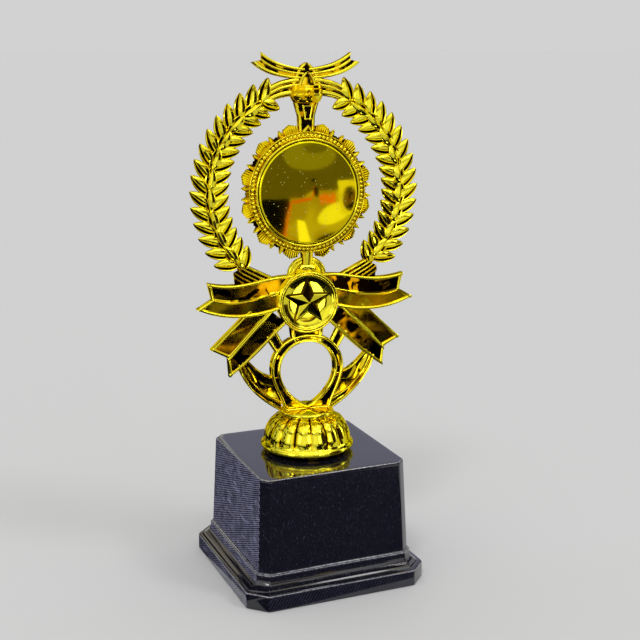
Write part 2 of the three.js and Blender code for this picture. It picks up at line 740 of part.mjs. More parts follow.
// One leaf: a four-sided almond with a ridge along its front and back and sharp edges at its sides.
function leaf(root, tip, width, thickness, depth) {
  const along = tip.clone().sub(root);
  const almond = lathe([[0, 0], [0.95, 0.35], [0.85, 0.68], [0, 1]], 4);
  almond.scale(width / 2, along.length(), thickness / 2).rotateZ(along.angle() - Math.PI / 2);
  return solid(almond.translate(root.x, root.y, depth));
}

// A curved bar along the wreath, under its leaves.
function branchOutline() {
  const steps = 14;
  const arc = (radius) => Array.from({ length: steps + 1 }, (_, i) =>
    polar(DISC, radius, THREE.MathUtils.lerp(BRANCH_FROM, BRANCH_TO, i / steps)));
  return [...arc(BRANCH_RADIUS + BRANCH_HALF), ...arc(BRANCH_RADIUS - BRANCH_HALF).reverse()];
}

function wreathSolid() {
  const overlap = 0.6;
  let wreath = plate(branchOutline(), -1.5, 1.2);
  for (let k = 0; k < LEAVES; k += 1) {
    const outerTurn = OUTER_FIRST + OUTER_STEP * k;
    const outerRoot = polar(DISC, BRANCH_RADIUS - overlap, outerTurn + LEAF_LEAN);
    const outerTip = polar(DISC, BRANCH_RADIUS + OUTER_LEAF, outerTurn);
    const innerTurn = INNER_FIRST + INNER_STEP * k;
    const innerRoot = polar(DISC, BRANCH_RADIUS + overlap, innerTurn + LEAF_LEAN);
    const innerTip = polar(DISC, LEAF_INNER_RADIUS + INNER_LIFT * Math.exp(-k / LIFT_FADE), innerTurn);
    wreath = wreath
      .add(leaf(outerRoot, outerTip, LEAF_WIDTH, LEAF_THICKNESS, LEAF_DEPTH))
      .add(leaf(innerRoot, innerTip, LEAF_WIDTH, LEAF_THICKNESS, LEAF_DEPTH));
  }
  for (let k = 0; k < RIDGE_LEAVES; k += 1) {
    const turn = RIDGE_FIRST + RIDGE_STEP * k;
    const root = polar(DISC, BRANCH_RADIUS, turn + RIDGE_SPAN);
    const tip = polar(DISC, BRANCH_RADIUS, turn);
    wreath = wreath.add(leaf(root, tip, RIDGE_LEAF_WIDTH, RIDGE_LEAF_THICKNESS, RIDGE_LEAF_DEPTH));
  }
  return wreath
    .subtract(through(grown(stalkOutline(), GAP)))
    .subtract(through(grown(barOutline(), GAP)))
    .subtract(through(grown(wingOutline(), GAP)));
}

function barSolid() {
  const outline = barOutline();
  return bordered(outline, [outline], -1.5, 1.4)
    .subtract(cupSolid(GAP))
    .subtract(through(grown(flameOutline(), GAP)))
    .subtract(through(grown(crestOutline(), GAP)))
    .subtract(through(grown(mirrored(crestOutline()), GAP)));
}

function crestSolid() {
  const outline = crestOutline();
  return bordered(outline, [outline], -1.5, 1.6).subtract(through(grown(flameOutline(), GAP)));
}

function sideGroup(side) {
  const group = new THREE.Group();
  group.add(
    piece("crescent_" + side, crescentSolid(), gold, COLLAR),
    piece("ring_strut_" + side, strutSolid(), gold, RING),
    piece("ribbon_wing_" + side, wingSolid(), gold, MEDAL),
    piece("ribbon_tail_" + side, tailSolid(), gold, MEDAL),
    piece("laurel_stalks_" + side, stalkSolid(), gold, MEDAL),
    piece("wreath_" + side, wreathSolid(), gold, DISC),
    piece("cross_bar_" + side, barSolid(), gold, DISC),
    piece("crest_ribbon_" + side, crestSolid(), gold, DISC),
  );
  if (side === "left") group.scale.x = -1;
  return group;
}

// The figure's plane stands upright: depth points to the front of the trophy.
function figureGroup() {
  const figure = new THREE.Group();
  const plane = new THREE.Group();
  plane.rotation.x = Math.PI / 2;
  const padFloor = HOLDER_FLOOR + GAP;
  const discFloor = padFloor + PAD_THICKNESS + GAP;
  plane.add(
    piece("riser_dome", riser(), gold),
    piece("riser_collar", collar(), gold),
    ...clampPieces(),
    piece("oval_ring", ringSolid(), gold, RING),
    piece("ring_link", linkSolid(), gold, RING),
    piece("medallion_dish", medalSolid(), gold, MEDAL),
    piece("medallion_star", starSolid(), gold, MEDAL),
    piece("medallion_loop", loopSolid(), gold, MEDAL),
    piece("disc_holder", holderSolid(), gold, DISC),
    piece("disc_pad", drum(PAD_RADIUS, padFloor, padFloor + PAD_THICKNESS, DISC), foam, DISC),
    piece("centre_disc", drum(DISC_RADIUS, discFloor, discFloor + DISC_THICKNESS, DISC), goldFoil, DISC),
    piece("holder_stem", stemSolid(), gold, DISC),
    piece("torch_handle", handleSolid(), gold, DISC),
    piece("torch_cup", cupSolid(0), gold, DISC),
    piece("torch_flame", flameSolid(), gold, DISC),
    sideGroup("left"),
    sideGroup("right"),
  );
  figure.add(plane);
  figure.position.z = BASE_HEIGHT;
  figure.rotation.z = THREE.MathUtils.degToRad(FIGURE_TURN);
  return figure;
}

const trophy = new THREE.Group();
trophy.add(baseGroup(), figureGroup());

export default trophy;
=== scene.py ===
"""Star trophy: the visible surfaces and finishes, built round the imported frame.

Sizes are in millimetres until a mesh is made, and in metres after that. The gold figure stands in an
upright plane that is turned a little on the base: u runs sideways, v is the height, and w is the depth
towards the front.
"""
import logging
import math
from collections.abc import Sequence
from dataclasses import dataclass
from enum import Enum

import bmesh
import bpy
import numpy as np
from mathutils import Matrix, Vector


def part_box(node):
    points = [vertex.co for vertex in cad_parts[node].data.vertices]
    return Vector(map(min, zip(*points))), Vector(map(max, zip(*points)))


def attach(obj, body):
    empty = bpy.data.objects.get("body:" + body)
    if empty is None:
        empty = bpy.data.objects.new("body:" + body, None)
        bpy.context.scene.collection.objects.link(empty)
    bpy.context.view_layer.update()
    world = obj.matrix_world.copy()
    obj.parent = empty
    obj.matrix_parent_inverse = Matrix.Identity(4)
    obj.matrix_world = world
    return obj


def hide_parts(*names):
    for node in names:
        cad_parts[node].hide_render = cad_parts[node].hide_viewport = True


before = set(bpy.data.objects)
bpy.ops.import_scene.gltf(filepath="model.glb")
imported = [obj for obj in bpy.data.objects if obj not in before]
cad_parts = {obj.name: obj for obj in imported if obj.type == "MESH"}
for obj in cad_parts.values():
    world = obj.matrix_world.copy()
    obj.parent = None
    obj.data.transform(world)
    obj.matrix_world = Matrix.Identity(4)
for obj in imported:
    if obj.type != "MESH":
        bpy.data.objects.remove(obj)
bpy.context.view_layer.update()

MM = 0.001
LOG = logging.getLogger("star_trophy")

# How many points a cubic curve has, and how many decimals of a millimetre two points share to be one.
CURVE_POINTS = 33
WELD_DECIMALS = 5

# The recess value of a plain back, which keeps it bright.
BACK_RECESS = 0.1

Point = tuple[float, float]
Profile = tuple[tuple[float, float, float], ...]


class Hand(Enum):
    """Which side of the figure a piece is on, as the sign of its sideways coordinate."""

    LEFT = -1
    RIGHT = 1

    @property
    def word(self) -> str:
        """The side's name as it ends a node's name."""
        return self.name.lower()


class Edge(Enum):
    """The side of a ribbon from which a bead is measured."""

    NEAR = "near"
    FAR = "far"
    START = "start"
    END = "end"


# ---- Surfaces ----


@dataclass
class Surface:
    """Points and the four-cornered faces between them.

    Attributes:
        points: an (n, 3) array in millimetres.
        faces: an (m, 4) array of point numbers; one that repeats makes the face a triangle.
        recess: an (n,) array, 0 on the proudest part of the relief and 1 on its floor. On the gold it drives
            painted shade with the pooled lacquer; on the base it marks worn arrises instead.
    """

    points: np.ndarray
    faces: np.ndarray
    recess: np.ndarray

    def mirrored(self, hand: Hand) -> "Surface":
        """The same surface on the given side of the figure."""
        return Surface(self.points * np.array([hand.value, 1.0, 1.0]), self.faces, self.recess)

    def welded(self) -> "Surface":
        """The surface with the points that share a place made one.

        Returns:
            The welded surface.
        """
        rounded = np.round(self.points, WELD_DECIMALS)
        _, first, number = np.unique(rounded, axis=0, return_index=True, return_inverse=True)
        return Surface(self.points[first], number.reshape(-1)[self.faces], self.recess[first])

    def scaled(self, u: float = 1.0, w: float = 1.0) -> "Surface":
        """The surface scaled sideways and in depth."""
        return Surface(self.points * np.array([u, 1.0, w]), self.faces, self.recess)

    def raised(self, height: float) -> "Surface":
        """The surface moved up."""
        return Surface(self.points + np.array([0.0, height, 0.0]), self.faces, self.recess)

    def stood_up(self) -> "Surface":
        """A turned surface stood up: its axis is now the height, and what was upright is now the depth."""
        return Surface(self.points[:, [0, 2, 1]], self.faces, self.recess)


def merged(surfaces: Sequence[Surface]) -> Surface:
    """Several surfaces as one, each with its own points.

    Args:
        surfaces: the surfaces.

    Returns:
        The joined surface.
    """
    starts = np.cumsum([0] + [len(s.points) for s in surfaces])
    return Surface(
        np.concatenate([s.points for s in surfaces]),
        np.concatenate([s.faces + start for s, start in zip(surfaces, starts)]),
        np.concatenate([s.recess for s in surfaces]),
    )


def repeated(surface: Surface, places: np.ndarray) -> Surface:
    """Copies of a surface, one moved to each of an (n, 3) array of places.

    Args:
        surface: the one to copy.
        places: where each copy goes.

    Returns:
        All the copies.
    """
    starts = np.arange(len(places)) * len(surface.points)
    points = (surface.points[None] + places[:, None]).reshape(-1, 3)
    faces = (surface.faces[None] + starts[:, None, None]).reshape(-1, 4)
    return Surface(points, faces, np.tile(surface.recess, len(places)))


def grid_quads(rows: int, columns: int, wrap_rows: bool, wrap_columns: bool) -> np.ndarray:
    """Quads of a grid of points numbered row by row: each joins a point, its neighbours and the one across.

    Args:
        rows: how many rows of points there are.
        columns: how many points a row holds.
        wrap_rows: whether the last row joins the first.
        wrap_columns: whether a row's last point joins its first.

    Returns:
        An (n, 4) array of point numbers.
    """
    i, j = np.meshgrid(
        np.arange(rows if wrap_rows else rows - 1),
        np.arange(columns if wrap_columns else columns - 1),
        indexing="ij",
    )
    below, right = (i + 1) % rows, (j + 1) % columns
    corners = [i * columns + j, below * columns + j, below * columns + right, i * columns + right]
    return np.stack(corners, axis=-1).reshape(-1, 4)


def lofted(front: np.ndarray, back: np.ndarray, recess: np.ndarray, closed: bool = False) -> Surface:
    """Solids whose sections are closed loops: a row of the front, then that row of the back, run backwards.

    An open solid's two ends are closed by joining each point of the front to the one behind it.

    Args:
        front: a (rows, points, 3) array, or (solids, rows, points, 3) for several alike.
        back: the same for the back.
        recess: the depth share of each point of the front; the back has that of a plain back.
        closed: whether the last section joins the first.

    Returns:
        The closed surface.
    """
    loops = np.concatenate([front, back[..., ::-1, :]], axis=-2)
    shade = np.concatenate([recess, np.full_like(recess, BACK_RECESS)], axis=-1)
    rows, size = loops.shape[-3:-1]
    solids = loops.reshape(-1, rows, size, 3)
    quads = grid_quads(rows, size, closed, True)
    if not closed:
        j = np.arange(size // 2 - 1)
        cap = np.stack([j, j + 1, size - 2 - j, size - 1 - j], axis=-1)
        quads = np.concatenate([quads, cap[:, ::-1], cap + (rows - 1) * size])
    starts = np.arange(len(solids)) * rows * size
    every = (quads[None] + starts[:, None, None]).reshape(-1, 4)
    shade = np.broadcast_to(shade, solids.shape[:3]).reshape(-1)
    return Surface(solids.reshape(-1, 3), every, shade).welded()


def deepened(flat: np.ndarray, depth: np.ndarray) -> np.ndarray:
    """Flat points with a depth added to each."""
    return np.concatenate([flat, np.broadcast_to(depth, flat.shape[:-1])[..., None]], axis=-1)


def depth_share(depth: np.ndarray) -> np.ndarray:
    """Depth share of a relief: 0 at its highest point and 1 at its lowest."""
    return (depth.max() - depth) / max(float(depth.max() - depth.min()), 1e-6)


# ---- Flat curves, as (n, 2) arrays ----


def line(*points: Point) -> np.ndarray:
    """A polyline through the points."""
    return np.array(points, float)


def bezier(a: Point, b: Point, c: Point, d: Point) -> np.ndarray:
    """A cubic curve: the four points weighted by the Bernstein cubics of an even parameter.

    Args:
        a: the start.
        b: the point that it sets out for.
        c: the point that it comes from.
        d: the end.

    Returns:
        The curve.
    """
    t = np.linspace(0, 1, CURVE_POINTS)[:, None]
    start, pull, push, end = (np.array(p, float) for p in (a, b, c, d))
    curve = (1 - t) ** 3 * start + 3 * t * (1 - t) ** 2 * pull
    return curve + 3 * t**2 * (1 - t) * push + t**3 * end


def mirror(curve: np.ndarray) -> np.ndarray:
    """A curve's mirror image on the other side of the figure."""
    return curve * [-1, 1]


def polar(radius: float | np.ndarray, degrees: float | np.ndarray) -> np.ndarray:
    """Points at a radius and at an angle clockwise from upright: radius times its sine and cosine."""
    turn = np.radians(degrees)
    return np.stack(np.broadcast_arrays(radius * np.sin(turn), radius * np.cos(turn)), axis=-1)


def sampled(curve: np.ndarray, shares: np.ndarray) -> np.ndarray:
    """Points of a curve at shares of its length, found by straight steps between its own points.

    Args:
        curve: the curve.
        shares: an (n,) array of shares.

    Returns:
        An (n, 2) array.
    """
    steps = np.hypot(*np.diff(curve, axis=0).T)
    gone = np.concatenate([[0], np.cumsum(steps)])
    return np.stack([np.interp(shares * gone[-1], gone, curve[:, k]) for k in (0, 1)], axis=-1)


def curve_length(curve: np.ndarray) -> float:
    """The length of a curve, as the sum of its steps."""
    return float(np.hypot(*np.diff(curve, axis=0).T).sum())


# ---- Ribbons in relief ----


@dataclass(frozen=True)
class Bead:
    """A half-round bead, or a groove where its rise is negative.

    Attributes:
        edge: the side of the ribbon that it is measured from.
        centre: its middle line's distance from that side.
        half: half of its width.
        rise: its height over the floor.
    """

    edge: Edge
    centre: float
    half: float
    rise: float


def rims(half: float, rise: float) -> tuple[Bead, Bead]:
    """A bead along each of a ribbon's two long edges, flush with it."""
    return Bead(Edge.NEAR, half, half, rise), Bead(Edge.FAR, half, half, rise)


@dataclass(frozen=True)
class Section:
    """The front of a ribbon: a floor with beads and grooves.

    Attributes:
        floor: the floor's depth coordinate.
        beads: the beads and grooves on it.
        bow: how far the floor's middle stands out, as a parabola between the edges.
        swell: amplitude of a slow wave along the floor.
        waves: how many such waves there are.
        pool: how much lacquer pools on the floor and how much painted shade it gets, as a share.
    """

    floor: float
    beads: tuple[Bead, ...]
    bow: float = 0.0
    swell: float = 0.0
    waves: float = 1.5
    pool: float = 0.9

    def height(self, distance: dict[Edge, np.ndarray], across: np.ndarray, along: np.ndarray) -> np.ndarray:
        """Depth of the front: floor plus bow plus the highest bead there, less the grooves.

        Args:
            distance: millimetres from each edge.
            across: share of the width.
            along: share of the length.

        Returns:
            The depth coordinate at each point.
        """
        depth = self.floor + 4 * self.bow * across * (1 - across)
        depth = depth + self.swell * np.sin(2 * np.pi * self.waves * along + 2 * across)
        proud, sunk = np.zeros_like(depth), np.zeros_like(depth)
        for bead in self.beads:
            offset = (distance[bead.edge] - bead.centre) / bead.half
            arch = abs(bead.rise) * np.sqrt(np.clip(1 - offset**2, 0, 1))
            if bead.rise > 0:
                proud = np.maximum(proud, arch)
            else:
                sunk = np.maximum(sunk, arch)
        return depth + proud - sunk


def bead_steps(*widths: float, steps: int = 8) -> tuple[float, ...]:
    """Offsets across beads side by side, closest at their feet: half a width times one less the cosine.

    Args:
        widths: the beads' widths.
        steps: how many steps cross a bead.

    Returns:
        The offsets from the ribbon's edge.
    """
    offsets = [0.0]
    for width in widths:
        turn = np.linspace(0, np.pi, steps + 1)[1:]
        offsets += list(offsets[-1] + width / 2 * (1 - np.cos(turn)))
    return tuple(offsets)


@dataclass(frozen=True)
class Ribbon:
    """A solid ribbon between two edges, with a shaped front and a flat back.

    Attributes:
        near: one edge, an (n, 2) curve.
        far: the other edge, run in the same direction.
        section: the front's shape.
        back: the back's depth coordinate.
        steps: offsets of the grid lines in from both edges.
        middle: how many grid lines lie between them.
        rows: how many grid lines cross the ribbon evenly.
        ends: offsets of more lines in from the end edge.
        closed: whether the ribbon is a loop.
    """

    near: np.ndarray
    far: np.ndarray
    section: Section
    back: float
    steps: tuple[float, ...]
    middle: int
    rows: int
    ends: tuple[float, ...] = ()
    closed: bool = False

    def surface(self) -> Surface:
        """The ribbon's solid: a point mixes both edges at one share of their length, raised to the section.

        Where the ribbon is narrower than its beads, they are squeezed in proportion.

        Returns:
            The closed surface.
        """
        length = (curve_length(self.near) + curve_length(self.far)) / 2
        finish = 1 - max(self.ends, default=0) / length
        along = np.linspace(0, finish, self.rows, endpoint=not self.closed)
        if self.ends:
            along = np.concatenate([along[:-1], 1 - np.array(self.ends[::-1]) / length])
        a, b = sampled(self.near, along), sampled(self.far, along)
        width = np.maximum(np.hypot(*(b - a).T), 1e-4)[:, None]
        steps = np.array(self.steps)
        squeeze = np.minimum(1, 0.49 * width / steps[-1])
        inner = steps * squeeze / width
        blend = np.linspace(0, 1, self.middle + 2)[1:-1]
        between = inner[:, -1:] + (1 - 2 * inner[:, -1:]) * blend
        across = np.concatenate([inner, between, 1 - inner[:, ::-1]], axis=1)
        flat = a[:, None] * (1 - across[..., None]) + b[:, None] * across[..., None]
        share = np.broadcast_to(along[:, None], across.shape)
        distance = {
            Edge.NEAR: across * width / squeeze,
            Edge.FAR: (1 - across) * width / squeeze,
            Edge.START: share * length,
            Edge.END: (1 - share) * length,
        }
        depth = self.section.height(distance, across, share)
        # Recess is the depth share times this share: pooled lacquer and painted shade on the relief's floor.
        pooled_and_shaded = depth_share(depth) * self.section.pool
        return lofted(deepened(flat, depth), deepened(flat, self.back), pooled_and_shaded, self.closed)


# ---- Turned pieces ----


def turned(
    radius: np.ndarray, height: np.ndarray, segments: int, recess: np.ndarray | float = 0.0
) -> Surface:
    """A turned solid: a profile from the axis to the axis, swept clockwise from upright in even steps.

    Args:
        radius: an (n,) profile, or (segments, n) where it changes round the axis.
        height: the profile's (n,) coordinates along the axis.
        segments: how many steps there are round the axis.
        recess: depth share of each profile point, or of each point of the grid.

    Returns:
        The closed surface.
    """
    turn = 360 * np.arange(segments) / segments
    swept = np.broadcast_to(radius, (segments, len(height)))
    points = deepened(polar(swept, turn[:, None]), height)
    quads = grid_quads(segments, len(height), True, False)
    shade = np.broadcast_to(recess, points.shape[:2]).reshape(-1)
    return Surface(points.reshape(-1, 3), quads, shade).welded()


def small_dome(radius: float, rise: float, foot: float, steps: int) -> Surface:
    """A bead on a floor: a quarter of an ellipse turned about its axis, closed under the floor.

    Args:
        radius: its radius.
        rise: its height.
        foot: the coordinate of its underside.
        steps: how many points the quarter has.

    Returns:
        The bead.
    """
    swing = np.linspace(0, np.pi / 2, steps)
    profile_radius = np.concatenate([[0], radius * np.cos(swing)])
    profile_height = np.concatenate([[foot], rise * np.sin(swing)])
    return turned(profile_radius, profile_height, 12)


def rounded_profile(corners: Profile, steps: int) -> tuple[np.ndarray, np.ndarray]:
    """A profile through corners, each rounded by a quadratic curve that starts and ends its own reach away.

    Args:
        corners: (radius, height, reach) for each corner.
        steps: how many points a rounded corner gets.

    Returns:
        The radii and the heights.
    """
    points = np.array([c[:2] for c in corners], float)
    out = [points[:1]]
    for k in range(1, len(points) - 1):
        reach = corners[k][2]
        if reach <= 0:
            out.append(points[k : k + 1])
            continue
        back, ahead = points[k - 1] - points[k], points[k + 1] - points[k]
        enter = points[k] + back / np.linalg.norm(back) * min(reach, 0.49 * np.linalg.norm(back))
        leave = points[k] + ahead / np.linalg.norm(ahead) * min(reach, 0.49 * np.linalg.norm(ahead))
        t = np.linspace(0, 1, steps)[:, None]
        out.append((1 - t) ** 2 * enter + 2 * t * (1 - t) * points[k] + t**2 * leave)
    out.append(points[-1:])
    profile = np.concatenate(out)
    return profile[:, 0], profile[:, 1]


# ---- The figure's plane ----


@dataclass(frozen=True)
class Plane:
    """The upright plane of the gold figure, turned about the stud's axis.

    Attributes:
        turn: the angle from the base's front in radians.
    """

    turn: float

    def placed(self, surface: Surface) -> Surface:
        """The surface in the frame: sideways along the turned plane, height up, depth towards the front.

        Args:
            surface: a surface of the figure.

        Returns:
            The surface in the frame, still in millimetres.
        """
        u, v, w = surface.points.T
        cosine, sine = math.cos(self.turn), math.sin(self.turn)
        points = np.stack([u * cosine + w * sine, u * sine - w * cosine, v], axis=-1)
        return Surface(points, surface.faces, surface.recess)


def middle_of(node: str) -> tuple[float, float, float]:
    """The middle of a CAD node's box, in millimetres."""
    low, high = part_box(node)
    return tuple((low[k] + high[k]) / 2 / MM for k in range(3))


def top_of(node: str) -> float:
    """The height of a CAD node's top, in millimetres."""
    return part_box(node)[1].z / MM

@dataclass(frozen=True)
class Marks:
    """Places that the pieces are built from, all read from the frame.

    Attributes:
        plane: the figure's plane.
        base_top: height of the base's top.
        collar: height of the collar's top.
        ring: height of the oval ring's centre.
        medal: height of the medallion's centre.
        medal_radius: the medallion's radius.
        disc: height of the centre disc's middle.
        disc_radius: its radius.
    """

    plane: Plane
    base_top: float
    collar: float
    ring: float
    medal: float
    medal_radius: float
    disc: float
    disc_radius: float

    @classmethod
    def read(cls) -> "Marks":
        """Reads the marks: the turn is that of the line between the left and the right crest ribbon.

        Returns:
            The marks.
        """
        left, right = middle_of("crest_ribbon_left"), middle_of("crest_ribbon_right")
        return cls(
            plane=Plane(math.atan2(right[1] - left[1], right[0] - left[0])),
            base_top=top_of("base_shell"),
            collar=top_of("riser_collar"),
            ring=top_of("oval_ring") - Ring.half_height,
            medal=middle_of("medallion_dish")[2],
            medal_radius=top_of("medallion_dish") - middle_of("medallion_dish")[2],
            disc=middle_of("centre_disc")[2],
            disc_radius=top_of("centre_disc") - middle_of("centre_disc")[2],
        )


# ---- The gold figure's pieces, each a dict from a CAD node to the surface that stands for it ----

Surfaces = dict[str, Surface]


def both_hands(node: str, surface: Surface) -> Surfaces:
    """A right-hand surface and its mirror image, under the node's two names."""
    return {f"{node}_{hand.word}": surface.mirrored(hand) for hand in Hand}


@dataclass(frozen=True)
class Part:
    """A sub-assembly of the gold figure.

    Attributes:
        marks: the places that it is built from.
    """

    marks: Marks


@dataclass(frozen=True)
class Foot(Part):
    """The lobed dome on the base and the collar over it.

    Attributes:
        lobes: how many lobes the dome has.
        lobe_depth: how deep the creases between them are.
        crease_start: height over the base at which the creases start.
        crease_blend: how much further up they are at full depth.
        crease_fade: radius within which they fade out towards the axis.
        crease_shade: recess value of a crease's bottom, which paints shade in the creases.
        undercut_shade_height: height over the base up to which the dome is in full recess, painted shade
            under the rim at its foot.
        collar_radius: the collar's radius.
        collar_foot: its lower edge over the base.
        dome: the dome's profile as (radius, height over the base, rounding).
    """

    lobes: int = 16
    lobe_depth: float = 0.9
    crease_start: float = 4.9
    crease_blend: float = 2.5
    crease_fade: float = 9.0
    crease_shade: float = 0.66
    undercut_shade_height: float = 1.6
    collar_radius: float = 13.4
    collar_foot: float = 18.9
    dome: Profile = (
        (0.0, 0.2, 0.0), (20.6, 0.2, 0.2), (20.9, 1.4, 0.2), (22.5, 1.9, 0.6), (23.5, 3.0, 0.6),
        (23.3, 4.2, 0.6), (22.3, 5.1, 0.5), (22.0, 5.9, 0.5), (21.7, 9.4, 2.0), (20.0, 13.6, 2.0),
        (17.6, 16.5, 1.3), (15.0, 17.9, 1.0), (13.2, 18.6, 0.5), (0.0, 18.6, 0.0),
    )

    def dome_surface(self) -> Surface:
        """Dome: the profile turned, its radius less the crease depth times one less the lobes' cosine.

        Returns:
            The dome, with the base's top at zero height.
        """
        radius, height = rounded_profile(self.dome, 6)
        segments = self.lobes * 16
        turn = 2 * np.pi * np.arange(segments) / segments
        crease = (1 - np.abs(np.cos(self.lobes / 2 * turn)))[:, None]
        share = np.clip((height - self.crease_start) / self.crease_blend, 0, 1)
        share = share * np.clip(radius / self.crease_fade, 0, 1)
        lobed = np.maximum(radius - self.lobe_depth * crease * share, 0)
        # Painted shade: recess in the creases and under the undercut height, which the gold turns amber to
        # nearly black.
        pooled_and_shaded = np.maximum(self.crease_shade * crease**2 * share, height < self.undercut_shade_height)
        return turned(lobed, height, segments, pooled_and_shaded).stood_up()

    def collar_surface(self) -> Surface:
        """Collar: a turned profile with rounded edges.

        Returns:
            The collar, with the base's top at zero height.
        """
        r, low, high = self.collar_radius, self.collar_foot, self.marks.collar - self.marks.base_top
        corners = (
            (0, low - 0.3, 0), (r - 0.9, low - 0.3, 0.3), (r, low + 0.4, 0.7), (r, high - 0.7, 0.6),
            (r - 1.0, high, 0.6), (0, high, 0),
        )
        return turned(*rounded_profile(corners, 7), 96).stood_up()

    def surfaces(self) -> Surfaces:
        """The dome and the collar."""
        pieces = {"riser_dome": self.dome_surface(), "riser_collar": self.collar_surface()}
        return {node: surface.raised(self.marks.base_top) for node, surface in pieces.items()}


@dataclass(frozen=True)
class Ring(Part):
    """The open oval ring, its link and struts to the medallion, and the crescents beside it.

    Attributes:
        half_height: height of the ring's top over its centre.
        half_width: half of its width.
        hole: radius of the upper half of its hole.
        rim: half the width of its rims.
        rise: how far the rims stand over the floor between them.
        front: depth of the rims.
        back: depth of the ring's back and the link's.
        crescent_back: depth of the crescents' backs.
    """

    half_height: float = 18.0
    half_width: float = 18.9
    hole: float = 13.9
    rim: float = 0.95
    rise: float = 1.5
    front: float = 2.2
    back: float = -2.2
    crescent_back: float = -2.0

    def loop(self) -> Surface:
        """Ring: a closed ribbon between its outer and inner outlines, each a half with its mirror image.

        Returns:
            The ring.
        """
        ring, collar = self.marks.ring, self.marks.collar
        top, wide, hole = self.half_height, self.half_width, self.hole
        upper = bezier((0, ring + top), (10.96, ring + top), (wide, ring + 10.8), (wide, ring + 1))
        lower = bezier((wide, ring + 1), (wide, ring - 8), (13, collar + 6.4), (11.5, collar - 1))
        outer = np.concatenate([upper, lower[1:], line((9, collar - 1), (0, collar - 1))])
        arc = polar(hole, np.linspace(0, 90, CURVE_POINTS)) + [0, ring]
        dip = bezier((hole, ring), (hole, ring - 8), (7, collar + 4.9), (0, collar + 1.5))
        inner = np.concatenate([arc, dip[1:]])
        near, far = (np.concatenate([half, mirror(half[-2::-1])]) for half in (outer, inner))
        beads = rims(self.rim, self.rise)
        section = Section(self.front - self.rise, beads, bow=-0.5, swell=0.12, waves=4, pool=0.62)
        return Ribbon(near, far, section, self.back, bead_steps(2 * self.rim), 7, 160, closed=True).surface()

    def link(self) -> Surface:
        """Link: a ribbon from the top of the ring's hole up behind the medallion, wider there.

        Returns:
            The link.
        """
        right = line((7.8, self.marks.ring + self.hole), (9.3, self.marks.medal - 8))
        section = Section(0.2, rims(1.2, 1.3), swell=0.2)
        return Ribbon(mirror(right), right, section, self.back, bead_steps(2.4), 9, 24).surface()

    def strut(self) -> Surface:
        """Strut: a short ribbon from the ring's shoulder to the medallion's lower edge.

        Returns:
            The right strut.
        """
        ring, medal = self.marks.ring, self.marks.medal
        near = line((16.2, medal - 12.6), (11.9, ring + 13.3))
        far = line((21.4, medal - 17.2), (16, ring + 8.7))
        section = Section(-0.4, rims(1.1, 1.4), bow=-0.3)
        return Ribbon(near, far, section, -1.5, bead_steps(2.2), 5, 20).surface()

    def crescent(self) -> Surface:
        """Crescent: two hollow facets, from its rim to a ridge and from the ridge to its inner edge.

        Returns:
            The right crescent.
        """
        ring, medal, collar = self.marks.ring, self.marks.medal, self.marks.collar
        rim = bezier((35.8, medal - 30), (32, medal - 43), (22.5, collar + 4.4), (12.5, collar - 1.4))
        ridge = bezier((33.4, medal - 28.6), (28.5, medal - 43), (21, ring - 12.2), (13.5, ring - 16.5))
        hollow = bezier((31.2, medal - 26.6), (26, medal - 33), (22.5, ring - 2), (15, ring - 3.2))
        rim_beads = (Bead(Edge.NEAR, 0.8, 0.8, 1.35), Bead(Edge.FAR, 0, 0.7, 1.0))
        ridge_beads = (Bead(Edge.NEAR, 0, 0.7, 1.0), Bead(Edge.FAR, 0.6, 0.6, 0.9))
        outer = Section(0.3, rim_beads, bow=-0.5, swell=0.2, pool=0.45)
        inner = Section(0.3, ridge_beads, bow=-0.8, swell=0.3, pool=0.62)
        facets = (
            Ribbon(rim, ridge, outer, self.crescent_back, bead_steps(1.6), 6, 56),
            Ribbon(ridge, hollow, inner, self.crescent_back, bead_steps(1.4), 8, 56),
        )
        return merged([facet.surface() for facet in facets])

    def surfaces(self) -> Surfaces:
        """The ring, the link, the struts and the crescents."""
        surfaces = {"oval_ring": self.loop(), "ring_link": self.link()}
        return surfaces | both_hands("ring_strut", self.strut()) | both_hands("crescent", self.crescent())


